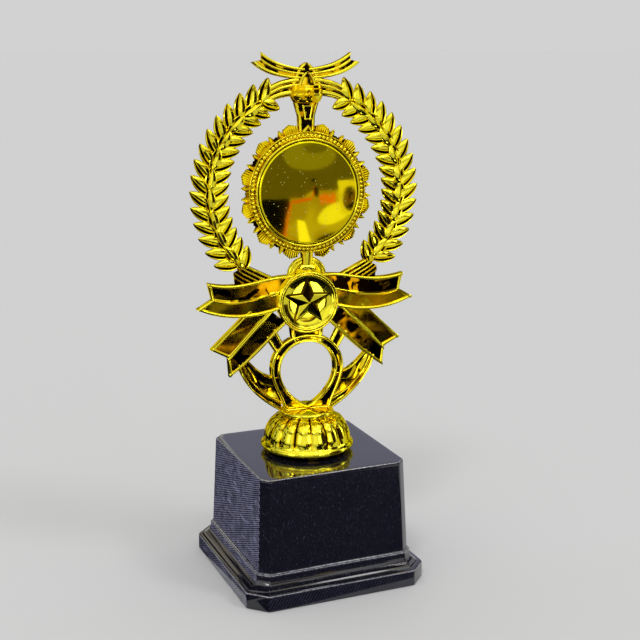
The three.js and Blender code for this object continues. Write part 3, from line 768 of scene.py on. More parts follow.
@dataclass(frozen=True)
class Medallion(Part):
    """The dished medallion with its raised star and the loop behind it.

    Attributes:
        star: radius of the star's points.
        waist: radius of its inner corners.
        star_edge: depth of the star's edge.
        apex: depth of its middle.
        floor: depth of the dish's floor.
        groove: how far in from the rim the groove between its two beads runs; painted shade darkens it.
        groove_half: half of the groove's width.
        loop_rise: height of the loop's centre over the medallion's.
        loop_stretch: the loop's width as a share of its height.
        loop: the loop's profile as (radius, depth, rounding).
        facet_shades: each facet's painted dark reflection, clockwise from the top.
    """

    star: float = 12.8
    waist: float = 5.4
    star_edge: float = 2.5
    apex: float = 4.8
    floor: float = 1.2
    groove: float = 1.3
    groove_half: float = 0.2
    loop_rise: float = 13.5
    loop_stretch: float = 9.8 / 9
    loop: Profile = (
        (0, -1.5, 0), (8.7, -1.5, 0.3), (9, -1.2, 0.3), (9, 0.6, 0.5), (8.3, 1.3, 0.5), (7.5, 1.0, 0.3),
        (7.3, 0.5, 0.2), (7.1, 1.0, 0.2), (6.5, 1.2, 0.4), (5.9, 0.8, 0.3), (5.4, 0.1, 0.4), (3.0, -0.1, 0.6),
        (0, 0.4, 0),
    )
    facet_shades: tuple[float, ...] = (0.4, 0.0, 0.4, 0.55, 0.0, 0.0, 0.1, 0.5, 0.0, 0.8)

    def star_surface(self) -> Surface:
        """Star: flat facets from the apex to the straight line between a point and the corner beside it.

        Each ring of points is a share of that line's distance out and of the drop to the star's edge. The
        recess is full on the outline and the creases, a painted shade, and elsewhere it is the facet's own
        painted dark reflection.

        Returns:
            The star, centred on the origin.
        """
        segments, half = 120, math.radians(36)
        turn = 2 * np.pi * np.arange(segments) / segments
        local = np.abs((turn + half) % (2 * half) - half)
        corner_u, corner_v = self.waist * math.sin(half), self.waist * math.cos(half)
        edge = self.star * corner_u / (corner_u * np.cos(local) - (corner_v - self.star) * np.sin(local))
        share = np.array([0, 0.12, 0.5, 0.75, 0.86, 0.91, 1.0, 1.0, 0.0])
        drop = np.array([0, 0.12, 0.5, 0.75, 0.86, 0.93, 1.09, 0, 0])
        height = self.apex - (self.apex - self.star_edge) * drop
        height[-2:] = self.floor - 0.2
        # Painted shade on the outline and creases, and each facet's painted dark reflection.
        outline = np.array([0, 0, 0, 0, 0, 1, 1, 1, 0.0])
        on_crease = (np.minimum(local, half - local) < 0.01)[:, None]
        creases = on_crease * np.array([0, 1, 1, 1, 1, 1, 1, 1, 0.0])
        facet = (turn / half + 1e-6).astype(int) % len(self.facet_shades)
        facet_shades = np.array(self.facet_shades)[facet][:, None] * (share > 0) * (height > self.floor)
        recess = np.maximum(np.maximum(outline, creases), facet_shades)
        return turned(edge[:, None] * share, height, segments, recess)

    def dish_surface(self) -> Surface:
        """Dish: a turned profile with two beads and a groove on its rim.

        Returns:
            The dish, centred on the origin.
        """
        r, floor = self.marks.medal_radius, self.floor
        radius, depth = rounded_profile((
            (0, -2.2, 0), (r - 0.3, -2.2, 0.3), (r, -1.8, 0.3), (r, 3.2, 0.6), (r - 0.6, 4.0, 0.5),
            (r - 1.15, 3.7, 0.3), (r - 1.2, 3.1, 0.2), (r - 1.4, 3.1, 0.2), (r - 1.55, 3.6, 0.2),
            (r - 2.0, 3.5, 0.3), (r - 2.6, 2.7, 0.5), (r - 5.0, floor + 0.4, 2.2), (r - 10.0, floor, 3.0),
            (0, floor, 0),
        ), 9)
        # Painted shade: full recess along the groove between the rim's beads.
        groove_shade = np.clip(1 - np.abs(radius - r + self.groove) / self.groove_half, 0, 1) * (depth > 2.5)
        return turned(radius, depth, 144, groove_shade)

    def surfaces(self) -> Surfaces:
        """The dish, the star and the loop, which is turned and stretched to an oval.

        Returns:
            The medallion's three pieces.
        """
        medal = self.marks.medal
        loop = turned(*rounded_profile(self.loop, 5), 96).scaled(u=self.loop_stretch)
        return {
            "medallion_dish": self.dish_surface().raised(medal),
            "medallion_star": self.star_surface().raised(medal),
            "medallion_loop": loop.raised(medal + self.loop_rise),
        }


@dataclass(frozen=True)
class Ribbons(Part):
    """The wings and the tails of the bow on both sides of the medallion.

    Attributes:
        border: half the width of the raised border.
        rise: how far the border stands over the panels.
        wing_floor: depth of the wings' panels.
        wing_back: depth of the wings' backs.
        tail_floor: depth of the tails' panels.
        tail_back: depth of the tails' backs.
    """

    border: float = 0.95
    rise: float = 1.15
    wing_floor: float = 1.2
    wing_back: float = -1.5
    tail_floor: float = 0.5
    tail_back: float = -2.2

    def section(self, floor: float, first: float, last: float, swell: float, pool: float) -> Section:
        """A panel with a border or a thin ridge along each edge and a border across its end.

        Args:
            floor: the panel's depth.
            first: half width of the near bead; under 0 it is a ridge on the edge itself.
            last: the same for the far one.
            swell: amplitude of the panel's slow wave.
            pool: how much lacquer pools on it and how much painted shade it gets, as a share.

        Returns:
            The section.
        """
        beads = [
            Bead(edge, max(half, 0), abs(half), self.rise if half > 0 else 0.8 * self.rise)
            for edge, half in ((Edge.NEAR, first), (Edge.FAR, last), (Edge.END, self.border))
        ]
        return Section(floor, tuple(beads), bow=-0.03, swell=swell, waves=1.3, pool=pool)

    def wing(self) -> Surface:
        """Wing: an upper and a lower panel that share the ridge between them.

        Returns:
            The right wing.
        """
        medal, wide, floor = self.marks.medal, self.border, self.wing_floor
        steps = bead_steps(2 * wide)
        top = bezier((6, medal + 13.7), (24, medal + 14.5), (32, medal + 7.5), (50.1, medal + 12.1))
        ridge = bezier((13, medal + 6.3), (30, medal + 1.4), (39, medal + 0.2), (48.2, medal + 3.8))
        foot = bezier((14, medal - 3.2), (30, medal - 8), (44, medal - 6.5), (55.6, medal - 0.6))
        upper = self.section(floor, wide, -0.6, swell=0.04, pool=0.52)
        lower = self.section(floor, -0.6, wide, swell=0.052, pool=0.28)
        panels = (
            Ribbon(top, ridge, upper, self.wing_back, steps, 9, 60, steps),
            Ribbon(ridge, foot, lower, self.wing_back, steps, 9, 60, steps),
        )
        return merged([panel.surface() for panel in panels])

    def tail(self) -> Surface:
        """Tail: an inner and an outer panel that share the straight divider between them.

        Returns:
            The right tail.
        """
        medal, wide, floor = self.marks.medal, self.border, self.tail_floor
        steps = bead_steps(2 * wide)
        curl = bezier((10.5, medal - 10.5), (17, medal - 15.5), (24, medal - 25), (39.9, medal - 35.7))
        divider = line((19, medal - 3.2), (40.6, medal - 25.9))
        shoulder = line((30, medal - 3.2), (49.1, medal - 21.2))
        inner = self.section(floor, wide, wide, swell=0.04, pool=0.55)
        outer = self.section(floor, wide, -0.9, swell=0.048, pool=0.36)
        panels = (
            Ribbon(divider, curl, inner, self.tail_back, steps, 9, 48, steps),
            Ribbon(shoulder, divider, outer, self.tail_back, steps, 9, 48, steps),
        )
        return merged([panel.surface() for panel in panels])

    def surfaces(self) -> Surfaces:
        """The wings and the tails."""
        return both_hands("ribbon_wing", self.wing()) | both_hands("ribbon_tail", self.tail())


@dataclass(frozen=True)
class Holder(Part):
    """The round holder of the centre disc: a lip, a ring of beads and a crown of fans and spikes.

    Attributes:
        hole: radius of the hollow that the disc lies in.
        edge: radius of the body.
        beads: how many beads there are.
        bead_circle: how far outside the hollow their circle runs.
        bead_floor: depth of the floor that they stand on.
        fans: how many fans there are.
        fan_half: half of a fan's angle in degrees.
        groove: angle from groove to groove on a fan.
        spike: angle from a fan's middle to a spike's.
        spike_half: half of a spike's angle.
        crown: share of the crown's height at degrees from a fan's middle.
        crown_height: the crown's height.
        plain_half: half of the angle at the top and the foot, where the crown is plain.
    """

    hole: float = 25.1
    edge: float = 29.3
    beads: int = 84
    bead_circle: float = 2.4
    bead_floor: float = 1.75
    fans: int = 12
    fan_half: float = 7.0
    groove: float = 2.0
    spike: float = 10.0
    spike_half: float = 3.0
    crown: tuple[Point, ...] = (
        (-15, 0.3), (-13.0, 0.2), (-10.2, 0.85), (-7.6, 0.3), (-7.0, 0.62), (0, 1), (7.0, 0.62),
        (7.6, 0.3), (10.2, 0.85), (13.0, 0.2), (15, 0.3),
    )
    crown_height: float = 4.15
    plain_half: float = 8.0

    def crown_surface(self) -> Surface:
        """Crown: a wrapped slab whose outer edge follows the fans and spikes.

        A fan's front is a cosine of the angle, one wave a groove, and its troughs get pooled lacquer and
        painted shade. A spike's front falls straight from its middle, and the valleys beside it are in
        recess, a painted shade.

        Returns:
            The crown, centred on the origin.
        """
        pitch = 360 / self.fans
        turn = np.arange(0, 360, 0.5)
        local = (turn % pitch) - pitch / 2
        share = np.interp(local, *np.array(self.crown).T)
        plain = np.minimum(turn % 180, 180 - turn % 180) < self.plain_half
        reach = self.crown_height * np.where(plain, 0.15, share)
        across = np.array([0.0, 0.2, 0.45, 0.7, 0.86, 0.95, 1.0])
        flat = polar(self.edge - 0.5 + (reach[:, None] + 0.5) * across, turn[:, None])
        on_fan = np.abs(local) < self.fan_half
        ridges = 0.5 - 0.5 * np.cos(2 * np.pi * (local + self.fan_half) / self.groove)
        spike = np.clip(1 - np.abs(np.abs(local) - self.spike) / self.spike_half, 0, 1)
        front = np.where(on_fan, 0.8 + 0.6 * ridges, 0.1 + 1.9 * spike)
        depth = front[:, None] - np.array([0.24, 0, 0, 0, 0.08, 0.24, 0.64])
        # Painted shade in the fans' troughs and in the valleys beside the spikes.
        sunk = np.where(on_fan, 0.6 * (1 - ridges) ** 2, 0.62 - 0.7 * spike).clip(0, 1)
        return lofted(deepened(flat, depth), deepened(flat, -0.6), sunk[:, None] * (across > 0.1), True)

    def body(self) -> Surface:
        """Body: a turned profile with a rim, a floor for the beads and a lip round the hollow.

        Returns:
            The body, centred on the origin.
        """
        inner, edge = self.hole, self.edge
        radius, depth = rounded_profile((
            (0, -2.5, 0), (edge - 0.4, -2.5, 0.3), (edge, -2.1, 0.3), (edge, 2.4, 0.3),
            (edge - 0.25, 2.9, 0.2), (edge - 0.6, 2.5, 0.2), (edge - 0.7, 1.7, 0.2),
            (inner + 1.35, 1.7, 0.2), (inner + 1.2, 2.5, 0.2), (inner + 1.15, 3.9, 0.4),
            (inner + 0.6, 4.5, 0.5), (inner + 0.05, 3.9, 0.4), (inner, 0.9, 0.1), (0, 0.9, 0),
        ), 5)
        # Painted shade on what lies low: the floor that the beads stand on and the feet of the walls by it.
        sunk = 0.42 * np.clip((2.9 - depth) / 0.8, 0, 1) * (depth > 0.5) * (radius < edge - 0.4)
        return turned(radius, depth, 216, sunk)

    def disc(self) -> Surface:
        """Disc: a thin turned plate with a rolled rim.

        Returns:
            The disc, centred on the origin.
        """
        r = self.marks.disc_radius
        corners = (
            (0, 2.2, 0), (r - 0.2, 2.2, 0.2), (r, 2.5, 0.2), (r, 3.7, 0.3), (r - 0.35, 4.1, 0.25),
            (r - 1.0, 4.1, 0), (0, 4.1, 0),
        )
        return turned(*rounded_profile(corners, 6), 192)

    def surfaces(self) -> Surfaces:
        """The holder with its beads and the small arch over its crown, the disc and the stem.

        Returns:
            The holder's three pieces.
        """
        circle = polar(self.hole + self.bead_circle, np.arange(self.beads) * 360 / self.beads)
        beads = repeated(small_dome(1.05, 1.25, -0.6, 6), deepened(circle, self.bead_floor))
        outer, inner = line((-3, 29.2), (0, 32.7), (3, 29.2)), line((-1, 29.2), (0, 30.6), (1, 29.2))
        arch_section = Section(2.3, (Bead(Edge.NEAR, 0.9, 0.9, 1.3),), bow=0.2)
        arch = Ribbon(outer, inner, arch_section, 1.6, bead_steps(0.9), 3, 21)
        side = line((3.2, -29.2), (2.6, -35.6))
        stem = Ribbon(mirror(side), side, Section(0.6, rims(0.8, 1.0), bow=2.3), -1.0, bead_steps(1.6), 6, 16)
        pieces = {
            "disc_holder": merged([self.body(), self.crown_surface(), beads, arch.surface()]),
            "centre_disc": self.disc(),
            "holder_stem": stem.surface(),
        }
        return {node: surface.raised(self.marks.disc) for node, surface in pieces.items()}


@dataclass(frozen=True)
class Leaf:
    """A row of laurel leaves of one size.

    Attributes:
        roots: an (n, 2) array of root points.
        tips: an (n, 2) array of tips.
        width: a leaf's width.
        middle: depth of its middle.
        thick: its thickness.
        hollow: 1 or -1, the side that its hollow facet is on.
    """

    roots: np.ndarray
    tips: np.ndarray
    width: float
    middle: float
    thick: float
    hollow: int = 1

    def surface(self) -> Surface:
        """Almonds: a point is the root, plus a share of the axis, plus a share across of the outline's width.

        From the hollow edge, the front has a thin rim, the hollow facet in full recess, painted dark as shade
        and dark reflection, a ridge off the middle and a plain facet. The back bulges evenly.

        Returns:
            All the leaves.
        """
        along = (1 - np.cos(np.linspace(0, np.pi, 19))) / 2
        # Across a leaf: position, lift of the front, and recess, which paints the hollow facet dark.
        across, lift, pooled_and_shaded = np.array((
            (-1.0, 0.1, 0.3), (-0.95, 0.44, 0.1), (-0.86, 0.52, 0.0), (-0.74, 0.42, 0.1), (-0.6, 0.16, 1.1),
            (-0.42, 0.2, 1.1), (-0.26, 0.56, 0.1), (0.08, 0.92, 0.0), (0.16, 1.0, 0.0), (0.24, 0.98, 0.0),
            (0.4, 0.91, 0.0), (0.65, 0.77, 0.0), (0.88, 0.61, 0.0), (0.96, 0.5, 0.1), (1.0, 0.1, 0.3),
        )).T
        outline = (np.sin(np.pi * along**0.85) ** 0.7)[:, None] * across * self.hollow
        crest = (np.sin(np.pi * along**0.9) ** 0.45)[:, None]
        axis = self.tips - self.roots
        side = np.stack([-axis[:, 1], axis[:, 0]], axis=-1) / np.hypot(*axis.T)[:, None] * self.width / 2
        flat = self.roots[:, None, None] + axis[:, None, None] * along[None, :, None, None]
        flat = flat + side[:, None, None] * outline[None, ..., None]
        edge = self.middle - self.thick * 0.12
        depth = edge + self.thick * 0.62 * crest * lift
        under = edge - self.thick * 0.38 * crest * (1 - np.abs(across) ** 3)
        return lofted(deepened(flat, depth), deepened(flat, under), np.broadcast_to(pooled_and_shaded, depth.shape))


@dataclass(frozen=True)
class Wreath(Part):
    """The laurel on each side: a cord, paired leaves, leaves along its ridge, and the stalks that carry it.

    Attributes:
        radius: radius of the cord's middle about the disc's.
        cord: half the cord's width.
        first: angle at which the cord starts, clockwise from upright.
        last: angle at which it ends.
        pairs: how many pairs of leaves there are.
        ridge: how many leaves lie along the ridge.
        stalks: how many stalks carry it.
    """

    radius: float = 48.3
    cord: float = 2.0
    first: float = 21.0
    last: float = 138.0
    pairs: int = 15
    ridge: int = 9
    stalks: int = 5

    def wreath(self) -> Surface:
        """Wreath: leaf roots and tips at even steps of angle, on circles about the disc's middle.

        Returns:
            The right wreath.
        """
        spine = np.linspace(self.first, self.last, 73)
        edges = polar(self.radius + self.cord, spine), polar(self.radius - self.cord, spine)
        cord = Ribbon(*edges, Section(-0.6, (), bow=1.4), -1.5, bead_steps(1.2), 4, 73)
        k = np.arange(self.pairs)
        outer, inner = 18.9 + 7.65 * k, 18.2 + 7.97 * k
        ridge = 27 + 11.6 * np.arange(self.ridge)
        leaves = (
            Leaf(polar(47.7, outer + 9), polar(57.6, outer), 6.2, 0.4, 3.8),
            Leaf(polar(48.9, inner + 9), polar(38.6 + 3.2 * np.exp(-k / 1.6), inner), 6.2, 0.4, 3.8, -1),
            Leaf(polar(self.radius, ridge + 14), polar(self.radius, ridge), 5.8, 1.2, 3.6),
        )
        return merged([cord.surface(), *(leaf.surface() for leaf in leaves)]).raised(self.marks.disc)

    def stalk(self) -> Surface:
        """Stalks: one ribbon that widens outwards, with a bead for each, measured from its upper edge.

        Returns:
            The right stalks.
        """
        medal, middle = self.marks.medal, np.array([0, self.marks.disc])
        top, side = polar(45.7, 139) + middle, polar(52.9, 136) + middle
        beads = tuple(Bead(Edge.NEAR, 0.8 + 2.1 * k, 0.85, 2.2 - 0.2 * k) for k in range(self.stalks))
        near = line(tuple(top), (16.5, medal + 12.8))
        far = line(tuple(side), (36, medal + 9), (29, medal + 8), (17.5, medal + 11.5))
        return Ribbon(near, far, Section(-0.7, beads), -1.5, (0.0, 0.1, 0.3), 44, 40).surface()

    def surfaces(self) -> Surfaces:
        """The wreaths and the stalks."""
        return both_hands("wreath", self.wreath()) | both_hands("laurel_stalks", self.stalk())


@dataclass(frozen=True)
class Torch(Part):
    """The torch over the disc with the cross bars and the crest ribbons beside it.

    Attributes:
        handle: height of the handle's foot over the disc's middle.
        cup: height of the cup's foot.
        flame: height of the flame's foot.
        flatness: the cup's depth as a share of its width.
        back: depth of the bars' and the crest ribbons' backs.
    """

    handle: float = 29.6
    cup: float = 42.5
    flame: float = 51.1
    flatness: float = 0.6
    back: float = -1.5

    def blaze(self, scale: float, pool: float, front: float, back: float, half: float) -> Surface:
        """One layer of the flame: a ribbon between its two outlines with a strand along each.

        Args:
            scale: its size as a share of the whole flame's.
            pool: how much lacquer pools between the strands and how much painted shade falls there, as
                a share.
            front: depth of the strands.
            back: depth of its back.
            half: half a strand's width.

        Returns:
            The layer.
        """
        right = bezier((7.2, 0), (5.7, 5), (4, 8.9), (0.05, 10.4)) * scale
        foot = [0, self.flame - 0.7]
        section = Section(front - 1.0, rims(half, 1.0), bow=-0.2, pool=pool)
        steps = bead_steps(2 * half)
        return Ribbon(mirror(right) + foot, right + foot, section, back, steps, 5, 32).surface()

    def flame_surface(self) -> Surface:
        """The flame: a pointed arch of two strands, and a smaller one further forward."""
        return merged([self.blaze(1.06, 1.1, 1.4, -1.6, 1.1), self.blaze(0.66, 0.5, 3.0, -1, 0.85)])

    def cup_surface(self) -> Surface:
        """Cup: a turned profile flattened in depth, with two rows of small beads on its front.

        Returns:
            The cup.
        """
        foot = self.cup
        profile = rounded_profile((
            (0, foot, 0), (5.9, foot, 0.3), (6.4, foot + 0.3, 0.3), (7.2, foot + 1.2, 0.5),
            (8.1, foot + 3.2, 0.5), (8.3, foot + 4.0, 0.3), (7.9, foot + 4.4, 0.2), (8.1, foot + 5.2, 0.4),
            (8.3, foot + 6.4, 0.3), (7.7, foot + 6.9, 0.2), (7.8, foot + 8.3, 0.2), (0, foot + 8.3, 0),
        ), 5)
        # A flat recess of 0.3 tints the whole cup patchy amber: pooled lacquer and painted darker reflection.
        cup = turned(*profile, 96, 0.3).stood_up().scaled(w=self.flatness)
        rows = []
        for radius, height, sideways in (
            (8.0, foot + 4.35, np.array([-5.6, -2.8, 0, 2.8, 5.6])),
            (7.4, foot + 2.1, np.array([-4.2, -1.4, 1.4, 4.2])),
        ):
            depth = self.flatness * np.sqrt(radius**2 - sideways**2) - 0.12
            rows.append(np.stack([sideways, np.full_like(sideways, height), depth], axis=-1))
        return merged([cup, repeated(small_dome(0.5, 0.45, -0.4, 5), np.concatenate(rows))])

    def handle_surface(self) -> Surface:
        """Handle: a ribbon with side beads, and a raised panel with a border all round over it.

        Returns:
            The handle.
        """
        low = self.handle
        right = line((4, low), (4.2, low + 6.8), (6.1, low + 13.2))
        section = Section(0.1, rims(0.9, 1.5), bow=-0.3, pool=0.72)
        body = Ribbon(mirror(right), right, section, -2, bead_steps(1.8), 5, 30)
        edge = line((1.6, low + 5), (2.8, low + 12))
        border = Section(1.9, tuple(Bead(side, 0.5, 0.5, 0.9) for side in Edge))
        steps = bead_steps(1.0)
        panel = Ribbon(mirror(edge), edge, border, 0, steps, 5, 30, steps)
        return merged([body.surface(), panel.surface()])

    def cross_bar(self) -> Surface:
        """Cross bar: three beads from the torch to the wreath's first leaves.

        Returns:
            The right cross bar.
        """
        cup, flame = self.cup, self.flame
        top = bezier((4, flame + 3.2), (9, flame + 3), (14, flame + 2), tuple(polar(53.5, 20.4)))
        bottom = bezier((4, cup + 3.3), (9, cup + 3.3), (15, cup + 2.4), tuple(polar(46.3, 24.2)))
        beads = (
            Bead(Edge.NEAR, 1.2, 1.2, 1.1), Bead(Edge.NEAR, 3.5, 1.0, 0.9), Bead(Edge.FAR, 1.5, 1.5, 1.0),
        )
        steps = bead_steps(2.4, 0.15, 1.1, steps=7)
        return Ribbon(top, bottom, Section(0.3, beads, bow=0.2), self.back, steps, 5, 40).surface()

    def crest_ribbon(self) -> Surface:
        """Crest ribbon: two bands that share the bead between them.

        Returns:
            The right crest ribbon.
        """
        flame = self.flame
        top = bezier((1, flame + 7.6), (9, flame + 8.6), (15, flame + 9.6), (21.9, flame + 15))
        middle = bezier((1.5, flame + 5), (9, flame + 5.6), (16, flame + 6.6), (21.8, flame + 11.4))
        foot = bezier((2, flame + 2.4), (12, flame + 2.9), (20, flame + 4.2), (26.8, flame + 10.4))
        upper = Section(0.6, (Bead(Edge.NEAR, 1.1, 1.1, 0.9), Bead(Edge.FAR, 0, 1.15, 0.8)), pool=0.7)
        lower = Section(0.6, (Bead(Edge.NEAR, 0, 1.15, 0.8), Bead(Edge.FAR, 1.6, 1.6, 0.9)), pool=0.7)
        bands = (
            Ribbon(top, middle, upper, self.back, bead_steps(2.2), 3, 40),
            Ribbon(middle, foot, lower, self.back, bead_steps(3.0), 3, 40),
        )
        return merged([band.surface() for band in bands])

    def surfaces(self) -> Surfaces:
        """The torch, the cross bars and the crest ribbons.

        Returns:
            The torch's pieces.
        """
        pieces = {
            "torch_handle": self.handle_surface(),
            "torch_cup": self.cup_surface(),
            "torch_flame": self.flame_surface(),
            **both_hands("cross_bar", self.cross_bar()),
            **both_hands("crest_ribbon", self.crest_ribbon()),
        }
        return {node: surface.raised(self.marks.disc) for node, surface in pieces.items()}


# ---- The base ----


@dataclass(frozen=True)
class BaseShell:
    """The hollow square base with cut corners, a moulded foot and a cove.

    Attributes:
        height: the base's height.
        wall: the wall's thickness.
        corner: how far the rounding of an upright edge reaches.
        top: half width across the flats and across the cut corners, at the top.
        waist: the same at the foot of the sloping sides.
        foot: the same round the foot.
        waist_height: height at which the sloping sides end.
        foot_height: height of the foot's upright rim.
        cove: the cove's width.
        wear: how far wear reaches from an arris.
    """

    height: float
    wall: float = 3.0
    corner: float = 0.7
    top: Point = (37.8, 50.49)
    waist: Point = (39.7, 53.10)
    foot: Point = (47.0, 60.32)
    waist_height: float = 16.05
    foot_height: float = 7.95
    cove: Point = (5.6, 5.8)
    wear: float = 0.32

    def profile(self) -> tuple[np.ndarray, np.ndarray]:
        """The section through a flat side: over the top, down, round the cove and the foot, and up inside.

        Returns:
            The distance from the axis and the height of each point.
        """
        top, waist, foot, inside = self.top[0], self.waist[0], self.foot[0], self.top[0] - self.wall
        height, step, rim = self.height, self.waist_height, self.foot_height
        sink = np.linspace(0, np.pi / 2, 13)
        cove_out = foot - 0.5 - self.cove[0] * np.cos(sink)
        cove_down = step - 1.8 - self.cove[1] * np.sin(sink)
        cove = [(float(a), float(b), 0.0) for a, b in zip(cove_out, cove_down)]
        return rounded_profile((
            (0, height, 0), (top - 4, height, 0), (top - 0.2, height, 0.7), (top + 0.02, height - 1.0, 0),
            (top + 0.06, height - 1.8, 0), (waist - 0.04, step + 1.2, 0), (waist, step + 0.2, 0.25),
            (waist + 0.6, step, 0.25), (waist + 1.2, step - 0.6, 0.3), *cove, (foot, rim - 0.1, 0.3),
            (foot, rim - 0.9, 0), (foot, 0.3, 0.3), (foot - 0.4, 0, 0.2), (foot - self.wall, 0, 0),
            (foot - self.wall, 3.0, 0), (inside + 2, 4.0, 0), (inside, height - self.wall, 0),
            (0, height - self.wall, 0),
        ), 5)

    def outline(self, flat: np.ndarray) -> np.ndarray:
        """Octagons with rounded corners: a square of the flats' half width, cut by the diagonal half width.

        Args:
            flat: the half width across the flats at each height.

        Returns:
            An (n, points, 2) array.
        """
        table = np.array([(0, 0), self.top, self.waist, self.foot])
        cut = np.interp(flat, table[:, 0], table[:, 1]) * math.sqrt(2) - flat
        long, short = flat[:, None], cut[:, None]
        x = np.concatenate([short, long, long, short, -short, -long, -long, -short], axis=1)
        y = np.concatenate([long, short, -short, -long, -long, -short, short, long], axis=1)
        corner = np.stack([x, y], axis=-1)
        reach = np.minimum(self.corner, 0.2 * flat)[:, None, None]
        before, after = (np.roll(corner, way, axis=1) - corner for way in (1, -1))
        enter = (corner + self.towards(before) * reach)[:, :, None]
        leave = (corner + self.towards(after) * reach)[:, :, None]
        t = np.linspace(0, 1, 5)[:, None]
        rounded = enter * (1 - t) ** 2 + 2 * t * (1 - t) * corner[:, :, None] + leave * t**2
        return rounded.reshape(len(flat), -1, 2)

    @staticmethod
    def towards(way: np.ndarray) -> np.ndarray:
        """Directions of length one."""
        return way / np.maximum(np.linalg.norm(way, axis=-1, keepdims=True), 1e-9)

    def surface(self) -> Surface:
        """Shell: the outline at each point of the profile, with wear where the profile is near an arris.

        Returns:
            The shell, upright on the ground.
        """
        flat, level = self.profile()
        points = deepened(self.outline(flat), level[:, None])
        waist, step = self.waist[0], self.waist_height
        arrises = np.array([
            (self.top[0] - 0.35, self.height - 0.2), (waist + 0.6, step), (waist + 1.2, step - 0.6),
            (self.foot[0], self.foot_height - 0.1),
        ])
        near = np.hypot(flat[:, None] - arrises[:, 0], level[:, None] - arrises[:, 1]).min(axis=1)
        worn = np.repeat(np.clip(1 - near / self.wear, 0, 1), points.shape[1])
        quads = grid_quads(len(flat), points.shape[1], False, True)
        return Surface(points.reshape(-1, 3), quads, worn).welded()


# ---- Node materials ----

Socket = bpy.types.NodeSocket

# The colour inputs of a Mix node and its colour output.
MIX_A, MIX_B, MIXED = 6, 7, 2


def colour(code: str) -> tuple[float, float, float, float]:
    """A six-digit sRGB code as linear red, green, blue and an alpha of one.

    Args:
        code: the colour's code.

    Returns:
        The four values.
    """
    values = [int(code[k : k + 2], 16) / 255 for k in (0, 2, 4)]
    linear = [v / 12.92 if v <= 0.04045 else ((v + 0.055) / 1.055) ** 2.4 for v in values]
    return (*linear, 1.0)


class Graph:
    """The node tree of a material or of the world."""

    def __init__(self, owner: bpy.types.Material | bpy.types.World) -> None:
        """Empties the owner's tree.

        Args:
            owner: what the tree belongs to.
        """
        owner.use_nodes = True
        self.owner = owner
        self.tree = owner.node_tree
        self.tree.nodes.clear()

    def add(
        self, kind: str, sockets: dict[str | int, object], out: str | int = 0, stops: Sequence[Point] = (),
        **settings: object,
    ) -> Socket | None:
        """Adds a node.

        Args:
            kind: the node's type name, without the ShaderNode that they all start with.
            sockets: each input's value, or the output that feeds it.
            out: the output that is wanted.
            stops: the (position, grey level) of a colour ramp's two stops.
            settings: the node's own properties.

        Returns:
            The output, or None where the node has none.
        """
        node = self.tree.nodes.new(f"ShaderNode{kind}")
        for name, value in settings.items():
            setattr(node, name, value)
        for number, (position, level) in enumerate(stops):
            stop = node.color_ramp.elements[number]
            stop.position = position
            stop.color = (level, level, level, 1)
        for name, value in sockets.items():
            if isinstance(value, Socket):
                self.tree.links.new(value, node.inputs[name])
            else:
                node.inputs[name].default_value = value
        return node.outputs[out] if node.outputs else None

    def finish(self, shader: Socket) -> bpy.types.Material | bpy.types.World:
        """Joins the shader to the output of the owner's kind, and returns the owner.

        Args:
            shader: the finished shader.

        Returns:
            The owner.
        """
        kind = "OutputWorld" if isinstance(self.owner, bpy.types.World) else "OutputMaterial"
        self.add(kind, {"Surface": shader})
        return self.owner


